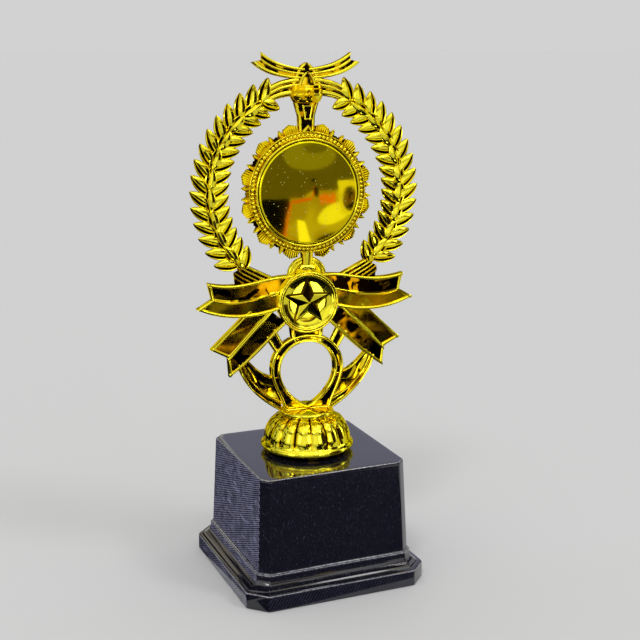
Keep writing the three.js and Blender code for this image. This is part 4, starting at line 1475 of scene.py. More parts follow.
@dataclass(frozen=True)
class Gold:
    """Vacuum-metallised ABS: a moulding with a film of aluminium under a clear yellow lacquer.

    The film is as smooth as the moulding, so it mirrors the room in high contrast. The lacquer makes it
    yellow, and it turns amber and then nearly black with the recess in the relief: partly where the lacquer
    pools, partly painted shade and painted dark reflection. Its skin is a little uneven and holds some
    specks of dust.

    Attributes:
        name: the material's name.
        code: sRGB colour on the proud parts.
        amber: sRGB colour part of the way into a recess, of pooled lacquer and painted shade.
        deep: sRGB colour in the recesses, where the lacquer pools, with painted shade and dark reflection.
        edge: sRGB tint of its reflection at a slant, through more of the lacquer.
        speck: sRGB colour of the dust.
        roughness: roughness of clean film.
        cloud_size: size in metres of the patches where it is rougher.
        wave: height in metres of the slow unevenness.
        wave_size: its size in metres.
        pool_size: size of the blotches of pooled lacquer and painted shade in metres.
        dust_pitch: distance between specks of dust in metres.
        dust: how large they are, as a share of that distance.
    """

    name: str = "gold_film"
    code: str = "F4E834"
    amber: str = "E8BC06"
    deep: str = "120A00"
    edge: str = "F4E078"
    speck: str = "A8A46C"
    roughness: float = 0.06
    cloud_size: float = 0.009
    wave: float = 0.00003
    wave_size: float = 0.006
    pool_size: float = 0.009
    dust_pitch: float = 0.0021
    dust: float = 0.05

    def lacquer(self, graph: Graph, place: Socket) -> Socket:
        """The colour of lacquer and painted shade: the first, then amber, then deep, as recess times a
        blotchy noise grows.

        Args:
            graph: the material's graph.
            place: the Object coordinates.

        Returns:
            The colour.
        """
        recess = graph.add("Attribute", {}, "Fac", attribute_name="recess")
        blotches = {"Vector": place, "Scale": 1 / self.pool_size, "Detail": 2.0, "Distortion": 0.8}
        blotch = graph.add("TexNoise", blotches, "Fac")
        spread = {"Value": blotch, "From Min": 0.45, "From Max": 0.53, "To Min": 0.75, "To Max": 1.7}
        # The blotchy thickness scales the painted shade as well as the lacquer.
        thickness = graph.add("MapRange", spread)
        pool = graph.add("Math", {0: recess, 1: thickness}, operation="MULTIPLY")
        tint: object = colour(self.code)
        # Painted shade and dark reflection, with the pooled lacquer: amber, then nearly black.
        for code, stops in ((self.amber, ((0.2, 0.0), (0.5, 1.0))), (self.deep, ((0.52, 0.0), (0.8, 1.0)))):
            share = graph.add("ValToRGB", {"Fac": pool}, stops=stops)
            mixed = {"Factor": share, MIX_A: tint, MIX_B: colour(code)}
            tint = graph.add("Mix", mixed, MIXED, data_type="RGBA")
        return tint

    def material(self) -> bpy.types.Material:
        """Metal in the lacquer's colour with its painted shade, with cloudy roughness, an uneven skin, and
        dust that is not metal.

        Returns:
            The material.
        """
        graph = Graph(bpy.data.materials.new(self.name))
        place = graph.add("TexCoord", {}, "Object")
        specks = graph.add("TexVoronoi", {"Vector": place, "Scale": 1 / self.dust_pitch}, "Distance")
        dust = graph.add("ValToRGB", {"Fac": specks}, stops=((self.dust * 0.6, 1.0), (self.dust, 0.0)))
        tint = self.lacquer(graph, place)
        dusty = {"Factor": dust, MIX_A: tint, MIX_B: colour(self.speck)}
        bare = graph.add("Math", {0: 1.0, 1: dust}, operation="SUBTRACT")
        cloud = graph.add("TexNoise", {"Vector": place, "Scale": 1 / self.cloud_size, "Detail": 3.0}, "Fac")
        levels = (0.35, self.roughness), (0.75, self.roughness * 1.9)
        cloudy = graph.add("ValToRGB", {"Fac": cloud}, stops=levels)
        rough = graph.add("Math", {0: cloudy, 1: dust}, operation="MAXIMUM", use_clamp=True)
        slow = graph.add("TexNoise", {"Vector": place, "Scale": 1 / self.wave_size, "Detail": 1.0}, "Fac")
        return graph.finish(graph.add("BsdfPrincipled", {
            "Base Color": graph.add("Mix", dusty, MIXED, data_type="RGBA"),
            "Metallic": bare,
            "Roughness": graph.add("Math", {0: rough, 1: 0.45}, operation="MINIMUM"),
            "Specular Tint": colour(self.edge),
            "Normal": graph.add("Bump", {"Height": slow, "Distance": self.wave, "Strength": 1.0}),
        }))


@dataclass(frozen=True)
class GlossBlack:
    """Polystyrene, injection-moulded in a polished mould: a deep black gloss that mirrors the room.

    The mould's polishing leaves fine slanting marks, raised in relief; their paler colour is a painted glint,
    paler on the left and right faces as painted light from the sides. Handling leaves thin scratches, and
    the arrises are rubbed pale. The real marks are some tenths of a millimetre apart, too fine to show,
    so they are drawn a millimetre apart.

    Attributes:
        name: the material's name.
        code: its sRGB colour.
        stroke: sRGB colour of the marks on the front and back and of the scratches there, a painted
            glint.
        side_stroke: sRGB colour of the marks and scratches on the left and right, paler as painted
            light from the sides.
        worn: sRGB colour of the rubbed arrises.
        index: refractive index of polystyrene.
        hatch_pitch: distance from mark to mark in metres.
        hatch_height: their height in metres.
        rim: heights in metres between which the marks change from the foot's strength to that above it.
        side_marks: their strength on the left and right, on the foot and above it, in relief and in painted
            glint.
        front_marks: their strength on the front and back, on the foot and above it, in relief and in painted
            glint.
        scratch: scale of the scratch noise along three turned axes, so that it draws out to thin lines.
    """

    name: str = "black_polystyrene"
    code: str = "12121C"
    stroke: str = "46465C"
    side_stroke: str = "C4C4EC"
    worn: str = "C8C8D4"
    index: float = 1.59
    hatch_pitch: float = 0.001
    hatch_height: float = 0.00002
    rim: Point = (0.0075, 0.009)
    side_marks: Point = (0.5, 0.8)
    front_marks: Point = (0.6, 0.2)
    scratch: tuple[float, float, float] = (1500.0, 110.0, 700.0)

    def bands(self, graph: Graph, along: Socket, across: Socket, slant: float, pitch: float) -> Socket:
        """Slanted bands: one where the share of a pitch is under a little more than a half.

        Args:
            graph: the material's graph.
            along: the distance that the bands follow one another in.
            across: the distance that slides them.
            slant: how far it slides them.
            pitch: distance from band to band in metres.

        Returns:
            One on a band and zero off it.
        """
        slid = graph.add("Math", {0: across, 1: slant, 2: along}, operation="MULTIPLY_ADD")
        count = graph.add("Math", {0: slid, 1: 1 / pitch}, operation="MULTIPLY")
        share = graph.add("Math", {0: count}, operation="FRACT")
        return graph.add("Math", {0: share, 1: 0.55}, operation="LESS_THAN")

    def facing(self, graph: Graph, normal: Socket) -> Socket:
        """How far a surface faces along an axis either way, from the normal's part along it: zero to one."""
        size = graph.add("Math", {0: normal}, operation="ABSOLUTE")
        return graph.add("ValToRGB", {"Fac": size}, stops=((0.8, 0.0), (0.95, 1.0)))

    def hatching(self, graph: Graph, place: Socket, normal: Socket) -> tuple[Socket, Socket]:
        """Marks: crossed slanted bands, patchy by a noise, times a strength for the face and the height.

        Args:
            graph: the material's graph.
            place: the Object coordinates.
            normal: one part of the split normal.

        Returns:
            The marks' strength, and how far the surface faces left or right.
        """
        height = graph.add("SeparateXYZ", {"Vector": place}, "Z")
        parts = height.node.outputs
        way = graph.add("Math", {0: parts["X"], 1: parts["Y"]}, operation="ADD")
        rows = self.bands(graph, height, way, 0.4, self.hatch_pitch)
        breaks = self.bands(graph, way, height, -0.6, 1.7 * self.hatch_pitch)
        patches = graph.add("TexNoise", {"Vector": place, "Scale": 160.0, "Detail": 2.0}, "Fac")
        patchy = graph.add("ValToRGB", {"Fac": patches}, stops=((0.35, 0.55), (0.65, 1.0)))
        side, front = (self.facing(graph, normal.node.outputs[axis]) for axis in "XY")
        strength: object = 0.0
        for share, (on_foot, above) in ((side, self.side_marks), (front, self.front_marks)):
            low, high = self.rim
            levels = {"Value": height, "From Min": low, "From Max": high, "To Min": on_foot, "To Max": above}
            level = graph.add("MapRange", levels)
            strength = graph.add("Math", {0: share, 1: level, 2: strength}, operation="MULTIPLY_ADD")
        for factor in (rows, breaks, patchy):
            strength = graph.add("Math", {0: strength, 1: factor}, operation="MULTIPLY")
        return strength, side

    def material(self) -> bpy.types.Material:
        """Dark gloss plastic with marks and scratches in painted glint, worn arrises, and a full polish on
        what faces up.

        Returns:
            The material.
        """
        graph = Graph(bpy.data.materials.new(self.name))
        place = graph.add("TexCoord", {}, "Object")
        upward = graph.add("SeparateXYZ", {"Vector": place.node.outputs["Normal"]}, "Z")
        hatch, side = self.hatching(graph, place, upward)
        drawn = graph.add("Mapping", {"Vector": place, "Rotation": (0.5, 0.9, 0.6), "Scale": self.scratch})
        scratch = graph.add("TexNoise", {"Vector": drawn, "Scale": 1.0, "Detail": 2.0}, "Fac")
        lines = graph.add("ValToRGB", {"Fac": scratch}, stops=((0.54, 0.0), (0.72, 0.32)))
        broken = graph.add("Math", {0: hatch, 1: lines}, operation="MAXIMUM")
        chips = graph.add("TexNoise", {"Vector": place, "Scale": 900.0, "Detail": 2.0}, "Fac")
        chipped = graph.add("ValToRGB", {"Fac": chips}, stops=((0.4, 0.3), (0.6, 0.9)))
        arris = graph.add("Attribute", {}, "Fac", attribute_name="recess")
        rubbed = graph.add("Math", {0: chipped, 1: arris}, operation="MULTIPLY")
        # Painted glint: marks and scratches paler than the black, palest on the left and right faces.
        mark = {"Factor": side, MIX_A: colour(self.stroke), MIX_B: colour(self.side_stroke)}
        scratch_and_glint_tint = graph.add("Mix", mark, MIXED, data_type="RGBA")
        marked = {"Factor": broken, MIX_A: colour(self.code), MIX_B: scratch_and_glint_tint}
        marked_tint = graph.add("Mix", marked, MIXED, data_type="RGBA")
        worn = {"Factor": rubbed, MIX_A: marked_tint, MIX_B: colour(self.worn)}
        embossed = {"Height": hatch, "Distance": self.hatch_height, "Strength": 1.0}
        return graph.finish(graph.add("BsdfPrincipled", {
            "Base Color": graph.add("Mix", worn, MIXED, data_type="RGBA"),
            "Roughness": graph.add("MapRange", {"Value": lines, "To Min": 0.08, "To Max": 0.3}),
            "IOR": self.index,
            "Coat Weight": graph.add("ValToRGB", {"Fac": upward}, stops=((0.85, 0.3), (0.95, 0.9))),
            "Coat Roughness": 0.03,
            "Coat IOR": 1.6,
            "Normal": graph.add("Bump", embossed),
        }))


@dataclass(frozen=True)
class Grainy:
    """A plain finish with a fine grain: card, cast weight, plated steel or foam.

    Attributes:
        name: the material's name.
        code: sRGB colour of most of it.
        second: sRGB colour of its flecks.
        roughness: how matt it is.
        grain: size of the grain in metres.
        relief: height of the grain in metres.
        metallic: 1 for metal.
    """

    name: str
    code: str
    second: str
    roughness: float
    grain: float
    relief: float
    metallic: float = 0.0

    def material(self) -> bpy.types.Material:
        """Noise mixes the two colours and raises the surface.

        Returns:
            The material.
        """
        graph = Graph(bpy.data.materials.new(self.name))
        place = graph.add("TexCoord", {}, "Object")
        noise = graph.add("TexNoise", {"Vector": place, "Scale": 1 / self.grain, "Detail": 4.0}, "Fac")
        share = graph.add("ValToRGB", {"Fac": noise}, stops=((0.35, 0.0), (0.7, 1.0)))
        tint = {"Factor": share, MIX_A: colour(self.code), MIX_B: colour(self.second)}
        return graph.finish(graph.add("BsdfPrincipled", {
            "Base Color": graph.add("Mix", tint, MIXED, data_type="RGBA"),
            "Metallic": self.metallic,
            "Roughness": self.roughness,
            "Normal": graph.add("Bump", {"Height": noise, "Distance": self.relief, "Strength": 1.0}),
        }))


# The finish of each slot of the record.
FINISHES = {
    "gold_plated_plastic": Gold(),
    # Metallised polyester foil on the disc: flatter than the moulding, so its mirror is truer, and dustier.
    "gold_mirror_disc": Gold(
        "gold_foil", code="EFE012", amber="EFE012", deep="EFE012", edge="F4E060", roughness=0.028,
        wave=0.00001, wave_size=0.011, dust=0.13,
    ),
    "black_moulding": GlossBlack(),
    # Greyboard, pressed from pulp: matt, with fibres of two greys.
    "cover_card": Grainy("grey_card", "8F8B84", "77736C", roughness=0.85, grain=0.0009, relief=0.00004),
    # Plaster, cast in the base: chalky, with small pores.
    "ballast": Grainy("cast_weight", "A39D93", "857F76", roughness=0.9, grain=0.0012, relief=0.0001),
    # Zinc-plated steel, bright from the bath: a soft metal shine with faint clouds.
    "zinc_steel": Grainy(
        "zinc_plated_steel", "C9C9C4", "A9AAA8", roughness=0.32, grain=0.0016, relief=0.00002, metallic=1.0
    ),
    # Polyethylene foam with glue on both sides: white and matt, with open cells.
    "foam_pad": Grainy("white_foam", "E4E1D8", "D2CEC4", roughness=0.95, grain=0.0006, relief=0.00008),
}

# The slot of each hidden CAD node that keeps its own mesh.
HIDDEN = {
    "base_cover": "cover_card", "ballast_block": "ballast", "clamp_stud": "zinc_steel",
    "clamp_washer": "zinc_steel", "clamp_nut": "zinc_steel", "disc_pad": "foam_pad",
}


# ---- Putting pieces in the scene ----


@dataclass
class Workshop:
    """Turns surfaces into finished pieces that ride on the CAD bodies.

    Attributes:
        finishes: a material for each slot of the record.
        crease: degrees over which an edge is sharp.
        faces: how many faces have been made.
    """

    finishes: dict[str, bpy.types.Material]
    crease: float = 32.0
    faces: int = 0

    def piece(self, node: str, surface: Surface, body: str, slot: str) -> None:
        """Makes the mesh that stands for a CAD node.

        Args:
            node: the CAD node.
            surface: the surface in the frame, in millimetres.
            body: the body that it rides on.
            slot: the record's material slot.
        """
        mesh = bpy.data.meshes.new(f"{node}_moulding")
        corners = [tuple(dict.fromkeys(face)) for face in surface.faces.tolist()]
        mesh.from_pydata((surface.points * MM).tolist(), [], [face for face in corners if len(face) > 2])
        recess = mesh.attributes.new("recess", "FLOAT", "POINT")
        recess.data.foreach_set("value", surface.recess.astype(np.float32))
        shape = bmesh.new()
        shape.from_mesh(mesh)
        bmesh.ops.recalc_face_normals(shape, faces=shape.faces)
        shape.to_mesh(mesh)
        shape.free()
        mesh.polygons.foreach_set("use_smooth", np.ones(len(mesh.polygons), bool))
        mesh.set_sharp_from_angle(angle=math.radians(self.crease))
        mesh.materials.append(self.finishes[slot])
        piece = bpy.data.objects.new(f"{node}_moulding", mesh)
        bpy.context.scene.collection.objects.link(piece)
        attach(piece, body)
        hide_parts(node)
        self.faces += len(mesh.polygons)
        LOG.info("%s: %d faces on %s", piece.name, len(mesh.polygons), body)

    def dress(self, node: str, slot: str) -> None:
        """Gives a CAD node the finish of its slot.

        Args:
            node: the CAD node.
            slot: the record's material slot.
        """
        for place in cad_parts[node].material_slots:
            place.material = self.finishes[slot]
        LOG.info("%s: %s", node, slot)


# ---- What reflections see ----


def staged(
    name: str, points: np.ndarray, faces: list, material: bpy.types.Material, reflected_only: bool = True
) -> None:
    """A mesh that belongs to the stage.

    Args:
        name: the object's name.
        points: its points in metres.
        faces: its faces.
        material: its material.
        reflected_only: whether only glossy rays see it.
    """
    mesh = bpy.data.meshes.new(name)
    mesh.from_pydata(points.tolist(), [], faces)
    mesh.materials.append(material)
    thing = bpy.data.objects.new(name, mesh)
    bpy.context.scene.collection.objects.link(thing)
    for ray in ("visible_camera", "visible_diffuse", "visible_shadow"):
        setattr(thing, ray, not reflected_only)


@dataclass(frozen=True)
class Glow:
    """The look of a sheet that only reflections see.

    Attributes:
        code: its sRGB colour.
        strength: how brightly it glows.
        second: sRGB colour of its mottling, or an empty text for none.
        size: size of the mottling in metres.
    """

    code: str
    strength: float = 1.0
    second: str = ""
    size: float = 0.05

    def material(self, name: str) -> bpy.types.Material:
        """Emission of one colour, or of two mixed by a noise with a short ramp.

        Args:
            name: the material's name.

        Returns:
            The material.
        """
        graph = Graph(bpy.data.materials.new(name))
        shade: object = colour(self.code)
        if self.second:
            place = graph.add("TexCoord", {}, "Object")
            cloud = graph.add("TexNoise", {"Vector": place, "Scale": 1 / self.size, "Detail": 1.5}, "Fac")
            share = graph.add("ValToRGB", {"Fac": cloud}, stops=((0.46, 0.0), (0.54, 1.0)))
            mottled = {"Factor": share, MIX_A: shade, MIX_B: colour(self.second)}
            shade = graph.add("Mix", mottled, MIXED, data_type="RGBA")
        return graph.finish(graph.add("Emission", {"Color": shade, "Strength": self.strength}))


# Looks of the sheets that only reflections see, which paint reflections and highlights.
WHITE, BLACK, AMBER = Glow("FFFFFF"), Glow("040404"), Glow("060402", 1.7, "F0C860", 0.035)


@dataclass(frozen=True)
class Card:
    """A flat sheet that only reflections see: upright and facing the figure, or lying flat.

    Attributes:
        name: the object's name.
        outline: its corners as (sideways, height) in millimetres, or (sideways, depth) when it lies.
        place: how far in front of the axis it stands, or its height when it lies.
        glow: its look.
        lying: whether it lies.
    """

    name: str
    outline: Sequence[Point]
    place: float
    glow: Glow
    lying: bool = False

    def build(self, plane: Plane) -> None:
        """Makes the sheet, turned with the figure's plane.

        Args:
            plane: the figure's plane.
        """
        count = len(self.outline)
        flat = deepened(np.array(self.outline, float), self.place)
        if self.lying:
            flat = flat[:, [0, 2, 1]]
        placed = plane.placed(Surface(flat, np.zeros((0, 4), int), np.zeros(count)))
        staged(self.name, placed.points * MM, [list(range(count))], self.glow.material(self.name))


def rectangle(left: float, right: float, low: float, high: float) -> tuple[Point, ...]:
    """The corners of a rectangle."""
    return (left, low), (right, low), (right, high), (left, high)


def oval(u: float, v: float, half_u: float, half_v: float, turn: float = 0.0) -> list[Point]:
    """Corners of an ellipse about a point, turned by some degrees.

    Args:
        u: the point's sideways coordinate.
        v: its height.
        half_u: half of the width.
        half_v: half of the height.
        turn: the turn in degrees.

    Returns:
        The corners.
    """
    t = np.linspace(0, 2 * np.pi, 32, endpoint=False)
    x, y = half_u * np.cos(t), half_v * np.sin(t)
    c, s = math.cos(math.radians(turn)), math.sin(math.radians(turn))
    return [(float(a), float(b)) for a, b in zip(u + x * c - y * s, v + x * s + y * c)]


@dataclass(frozen=True)
class FigureView:
    """Painted reflections: what the figure's flat front mirrors, drawn on sheets in front of it as seen from
    the camera.

    Attributes:
        marks: the places to build from.
        camera: the camera's place as (sideways, height, depth) in millimetres.
        depth: depth of the sheets.
        step: how much nearer the figure each layer of sheets is than the one behind it.
    """

    marks: Marks
    camera: tuple[float, float, float] = (-169.6, 262.8, 552.8)
    depth: float = 325.0
    step: float = 0.6

    def card(self, name: str, glow: Glow, layer: int, outline: Sequence[Point]) -> Card:
        """A sheet of painted reflection for a patch of the front: lines from the camera's mirror image,
        carried on to the sheet.

        Args:
            name: the sheet's name.
            glow: its look.
            layer: how many layers it is in front of the first.
            outline: the patch's corners.

        Returns:
            The sheet.
        """
        seen_from = np.array(self.camera[:2])
        grow = (self.camera[2] + self.depth) / self.camera[2]
        points = (np.array(outline, float) - seen_from) * grow + seen_from
        return Card(name, points, self.depth - self.step * layer, glow)

    def ribbon_cards(self) -> list[Card]:
        """Painted reflections: the dim and amber patches that the flat panels of the bow mirror.

        Returns:
            The sheets.
        """
        m = self.marks.medal
        return [
            self.card("wing_left_low", Glow("73653A"), 0, (
                (-56, m - 1), (-32, m - 7), (-32, m - 2), (-48, m + 3),
            )),
            self.card("wing_left_top", AMBER, 0, ((-27, m + 3), (-10, m + 3), (-10, m + 14), (-24, m + 14))),
            self.card("wing_right_top", AMBER, 0, ((10, m + 3), (34, m + 1), (38, m + 10), (12, m + 15))),
            self.card("wing_right_low", Glow("8A7C40"), 0, (
                (22, m - 7), (40, m - 7), (58, m), (48, m + 3), (30, m),
            )),
            self.card("tail_left", AMBER, 0, ((-48, m - 24), (-36, m - 12), (-30, m - 12), (-40, m - 26))),
            self.card("tail_right", AMBER, 0, ((13, m - 8), (22, m - 8), (26, m - 16), (18, m - 18))),
        ]

    def disc_cards(self) -> list[Card]:
        """Painted reflections: the patches that the centre disc mirrors: dim above, tan below, and small
        shapes over them.

        Returns:
            The sheets.
        """
        d = self.marks.disc
        return [
            self.card("disc_upper", Glow("625A4E"), 0, oval(0, d, 28, 28)),
            self.card("disc_patch", Glow("8C8674"), 1, oval(0, d + 18, 13, 7)),
            self.card("disc_spot", Glow("6A6456"), 2, oval(2.5, d + 21.5, 6, 2.4)),
            self.card("disc_lower", Glow("A89468", 1.0, "C4B484", 0.03), 3, (
                (-28, d - 2), (-4, d - 2), (2, d + 1.5), (14, d + 1), (28, d + 6), (28, d - 28),
                (-28, d - 28),
            )),
            self.card("disc_black", Glow("050505", 1.0, "0C0A06", 0.004), 4, (
                (-28, d - 2), (-10.5, d - 2), (-10.2, d - 5), (-12.5, d - 12), (-13.5, d - 20),
                (-20, d - 22),
            )),
            self.card("disc_orange", Glow("F07800", 1.0, "D98A20", 0.006), 4, (
                (4, d - 0.6), (13, d - 0.2), (13, d - 5.2), (5, d - 5.4),
            )),
            self.card("disc_pale_right", Glow("F4EFD8", 1.15), 5, oval(12, d - 10.0, 9, 4.6, 22)),
            self.card("disc_pale_left", Glow("FFF8E0", 1.2), 5, (
                (-7, d - 12.0), (-3, d - 13.2), (0.4, d - 24.5), (-6, d - 25),
            )),
            self.card("disc_bright", Glow("E8DDB0", 1.1), 6, (
                (13.5, d + 6), (25, d + 6), (25, d - 12), (15, d - 10),
            )),
            self.card("disc_oval", Glow("0E0A02", 1.0, "7A5A10", 0.004), 7, oval(19.5, d - 3.0, 3.6, 6)),
            self.card("disc_crescent", BLACK, 7, oval(9.5, d - 21.5, 7.5, 1.9, 14)),
            self.card("disc_line", Glow("E06A00"), 8, (
                (-10.3, d - 4.6), (-0.4, d - 3.0), (1.4, d + 3.5), (2.4, d + 3.3), (0.8, d - 1.0),
                (-1.2, d - 1.7), (-10, d - 3.0),
            )),
            self.card("disc_stroke", Glow("E87A00"), 8, (
                (-10.6, d - 4.2), (-9.4, d - 4.4), (-11.4, d - 12), (-12.4, d - 20), (-14.2, d - 20),
                (-12.8, d - 12),
            )),
            self.card("disc_rim_orange", Glow("E06A00"), 8, (
                (-16, d - 19), (-8, d - 22.6), (-7, d - 24.4), (-12, d - 23.6), (-17, d - 20),
            )),
            self.card("disc_fleck", BLACK, 8, oval(1, d + 6.5, 1.1, 0.8)),
            self.card("disc_stub", Glow("2A1E04"), 9, oval(2.2, d + 1.0, 1.3, 2.6)),
        ]


# Painted dark reflections low down, on sheets that only reflections see: a sheet in front, three on the
# floor, and one over the cove in front and on the left, which keeps those from mirroring the bright ceiling.
LOW_CARDS = (
    Card("low_dark", rectangle(-6, 215, 2, 98), 328, BLACK),
    Card("floor_dark", rectangle(-47, 175, 49, 320), 0.8, Glow("16161A"), True),
    Card("floor_left", rectangle(-430, -49, -430, 55), 0.8, Glow("24242E"), True),
    Card("floor_corner", rectangle(-430, -48, 56, 330), 0.8, Glow("2C2C34"), True),
    Card("cove_front", rectangle(-44, 70, 46, 90), 66, Glow("0C0C12"), True),
    Card("cove_left", rectangle(-90, -46, -70, 90), 66, Glow("0C0C12"), True),
)


@dataclass(frozen=True)
class Panel:
    """A patch of a sphere round the object that only reflections see.

    Attributes:
        name: the object's name.
        azimuth: its two edges as angles from the front, in degrees.
        elevation: its lower and upper edge over the horizon, in degrees.
        glow: its look.
        radius: the sphere's radius in metres.
    """

    name: str
    azimuth: Point
    elevation: Point
    glow: Glow
    radius: float = 0.7

    def build(self, centre: tuple[float, float, float]) -> None:
        """Makes the patch: even steps of azimuth and elevation on the sphere.

        Args:
            centre: the sphere's centre in metres.
        """
        steps = 13
        a, e = np.radians(np.meshgrid(np.linspace(*self.azimuth, steps), np.linspace(*self.elevation, steps)))
        way = np.stack([np.sin(a) * np.cos(e), -np.cos(a) * np.cos(e), np.sin(e)], axis=-1)
        points = np.array(centre) + self.radius * way.reshape(-1, 3)
        faces = grid_quads(steps, steps, False, False).tolist()
        staged(self.name, points, faces, self.glow.material(self.name))


# The room round the object as patches that only reflections see, so they light nothing: painted
# reflections. A pale ceiling with painted highlights in it, a dark band under it, bright windows to the
# left, in front and to the right with a painted highlight in each, and mottled or grey walls at the sides
# and behind. A highlight's patch stands a little nearer than what it shines in front of.
NEARER = 0.69
PANELS = (
    Panel("overhead", (-140, 120), (44, 86), Glow("FFFFFF", 1.08, "FFF6D8", 0.3)),
    Panel("dark_band_left", (-84, -40), (31, 38), Glow("050402", 1.0, "C09A20", 0.12)),
    Panel("dark_band_right", (14, 84), (31, 39), Glow("050402", 1.0, "C09A20", 0.12)),
    Panel("left_key", (-84, -44), (-2, 29), WHITE),
    Panel("left_core", (-66, -56), (9, 22), Glow("FFFFFF", 8.0), NEARER),
    Panel("camera_side", (-40, -8), (-2, 29), Glow("FFFFFF", 1.02)),
    Panel("front_right", (-5, 30), (-3, 29), Glow("FFFFFF", 1.05)),
    Panel("front_core", (2, 10), (50, 57), Glow("FFFFFF", 9.0), NEARER),
    Panel("front_strip", (-36, 44), (60, 63), Glow("FFFFFF", 7.0), NEARER),
    Panel("high_right", (62, 120), (59, 68), Glow("FFFFFF", 5.0), NEARER),
    Panel("right_dark", (34, 68), (-10, 29), Glow("040302", 1.0, "4A3606", 0.09)),
    Panel("right_key", (70, 86), (-4, 29), Glow("FFFFFF", 1.1)),
    Panel("right_core", (76, 81), (6, 20), Glow("FFFFFF", 8.0), NEARER),
    Panel("right_far", (88, 128), (-9, 44), Glow("050402", 1.0, "DCDCE0", 0.12)),
    Panel("left_far", (-128, -88), (-9, 44), Glow("050402", 1.0, "DCDCE0", 0.12)),
    Panel("back_grey", (132, 167), (-8, 44), Glow("9898AA")),
    Panel("back_dark", (168, 226), (-9, 44), Glow("050402", 1.0, "D8D0B8", 0.12)),
)

# Two small bright patches close round the dome, about a point this high over the base, that only
# reflections see: painted highlights on the dome.
DOME_HEIGHT = 11
DOME_SPOTS = (
    Panel("dome_spot_left", (-64, -50), (4, 26), Glow("FFFFFF", 4.0), 0.11),
    Panel("dome_spot_right", (5, 18), (4, 26), Glow("FFFFFF", 4.0), 0.11),
)


# ---- Floor, light and camera ----


@dataclass(frozen=True)
class Sun:
    """A distant soft lamp, so that the floor is lit evenly.

    Attributes:
        name: the lamp's name.
        azimuth: its angle from the front in degrees.
        elevation: its angle over the horizon.
        width: how wide it looks, in degrees.
        power: its strength in watts a square metre.
    """

    name: str
    azimuth: float
    elevation: float
    width: float
    power: float


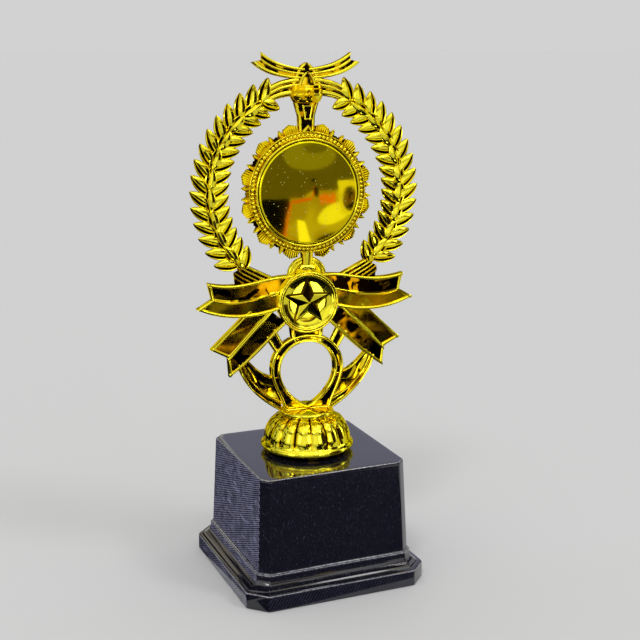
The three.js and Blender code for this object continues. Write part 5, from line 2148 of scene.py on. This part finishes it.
@dataclass(frozen=True)
class Stage:
    """The floor, the world, the lamps and the camera.

    Attributes:
        marks: the places to build from.
        floor_code: sRGB colour of the floor.
        floor_half: half of its side in metres.
        light: linear grey of the even light from all round.
        backdrop: linear grey that the camera sees behind everything.
        suns: the lamps.
        lamp_distance: the lamps' distance from the target in metres.
        lens: the camera's focal length in millimetres.
        azimuth: the camera's angle from the front in degrees.
        elevation: its angle over the horizon.
        distance: its distance from the target in metres.
        target: what it looks at, in metres.
    """

    marks: Marks
    floor_code: str = "D6D6D6"
    floor_half: float = 40.0
    light: float = 0.72
    backdrop: float = 0.645
    suns: tuple[Sun, ...] = (
        Sun("key", azimuth=-38, elevation=52, width=12, power=0.55),
        Sun("side", azimuth=42, elevation=44, width=14, power=0.4),
    )
    lamp_distance: float = 1.5
    lens: float = 67.29
    azimuth: float = -22.70
    elevation: float = 13.04
    distance: float = 0.5935
    target: tuple[float, float, float] = (0.00608, -0.00254, 0.12886)

    def floor(self) -> None:
        """A wide pale sheet of paper under the object: matt, so that it keeps only a soft shadow."""
        half = self.floor_half
        corners = np.array([(-half, -half, 0), (half, -half, 0), (half, half, 0), (-half, half, 0)])
        graph = Graph(bpy.data.materials.new("floor_paper"))
        paper = {"Base Color": colour(self.floor_code), "Roughness": 0.95, "Specular IOR Level": 0.1}
        material = graph.finish(graph.add("BsdfPrincipled", paper))
        staged("floor", corners, [(0, 1, 2, 3)], material, reflected_only=False)

    def world(self) -> None:
        """Even light, with a plain backdrop for camera, glossy and transmission rays."""
        world = bpy.data.worlds.new("studio")
        bpy.context.scene.world = world
        graph = Graph(world)
        total = graph.add("LightPath", {}, "Is Camera Ray")
        rays = total.node.outputs
        for name in ("Is Glossy Ray", "Is Transmission Ray"):
            total = graph.add("Math", {0: total, 1: rays[name]}, operation="ADD", use_clamp=True)
        light, backdrop = ((grey, grey, grey, 1) for grey in (self.light, self.backdrop))
        graph.finish(graph.add("MixShader", {
            0: total,
            1: graph.add("Background", {"Color": light}),
            2: graph.add("Background", {"Color": backdrop}),
        }))

    def aim(self, thing: bpy.types.Object, azimuth: float, elevation: float, distance: float) -> None:
        """Places an object on a sphere about the target and turns it to look there.

        Args:
            thing: a lamp or the camera.
            azimuth: its angle from the front in degrees.
            elevation: its angle over the horizon.
            distance: the sphere's radius in metres.
        """
        bpy.context.scene.collection.objects.link(thing)
        a, e = math.radians(azimuth), math.radians(elevation)
        way = (math.sin(a) * math.cos(e), -math.cos(a) * math.cos(e), math.sin(e))
        thing.location = [t + distance * w for t, w in zip(self.target, way)]
        thing.rotation_euler = (math.pi / 2 - e, 0, a)

    def lamps(self) -> None:
        """The suns, each turned to the target."""
        for sun in self.suns:
            light = bpy.data.lights.new(sun.name, "SUN")
            light.angle = math.radians(sun.width)
            light.energy = sun.power
            self.aim(bpy.data.objects.new(sun.name, light), sun.azimuth, sun.elevation, self.lamp_distance)

    def camera(self) -> None:
        """The camera, level and aimed at the target."""
        data = bpy.data.cameras.new("camera")
        data.lens = self.lens
        camera = bpy.data.objects.new("camera", data)
        self.aim(camera, self.azimuth, self.elevation, self.distance)
        bpy.context.scene.camera = camera

    def room(self) -> None:
        """The dark and bright sheets that only reflections see: painted reflections in the gold and the
        black.
        """
        view = FigureView(self.marks)
        for card in (*LOW_CARDS, *view.ribbon_cards(), *view.disc_cards()):
            card.build(self.marks.plane)
        for panel in PANELS:
            panel.build(self.target)
        for spot in DOME_SPOTS:
            spot.build((0.0, 0.0, (self.marks.base_top + DOME_HEIGHT) * MM))

    def build(self) -> None:
        """Builds everything that isn't the object."""
        bpy.context.scene.view_settings.view_transform = "Standard"
        self.floor()
        self.world()
        self.lamps()
        self.room()
        self.camera()


def main() -> None:
    """Builds every piece in order, then the stage."""
    logging.basicConfig(level=logging.INFO, format="%(message)s")
    marks = Marks.read()
    workshop = Workshop({slot: finish.material() for slot, finish in FINISHES.items()})
    workshop.piece("base_shell", BaseShell(marks.base_top).surface(), "base", "black_moulding")
    for part in (Foot, Ring, Medallion, Ribbons, Holder, Wreath, Torch):
        for node, surface in part(marks).surfaces().items():
            slot = "gold_mirror_disc" if node == "centre_disc" else "gold_plated_plastic"
            workshop.piece(node, marks.plane.placed(surface), "figure", slot)
    for node, slot in HIDDEN.items():
        workshop.dress(node, slot)
    LOG.info("%d faces in all", workshop.faces)
    Stage(marks).build()


if __name__ == "__main__":
    main()
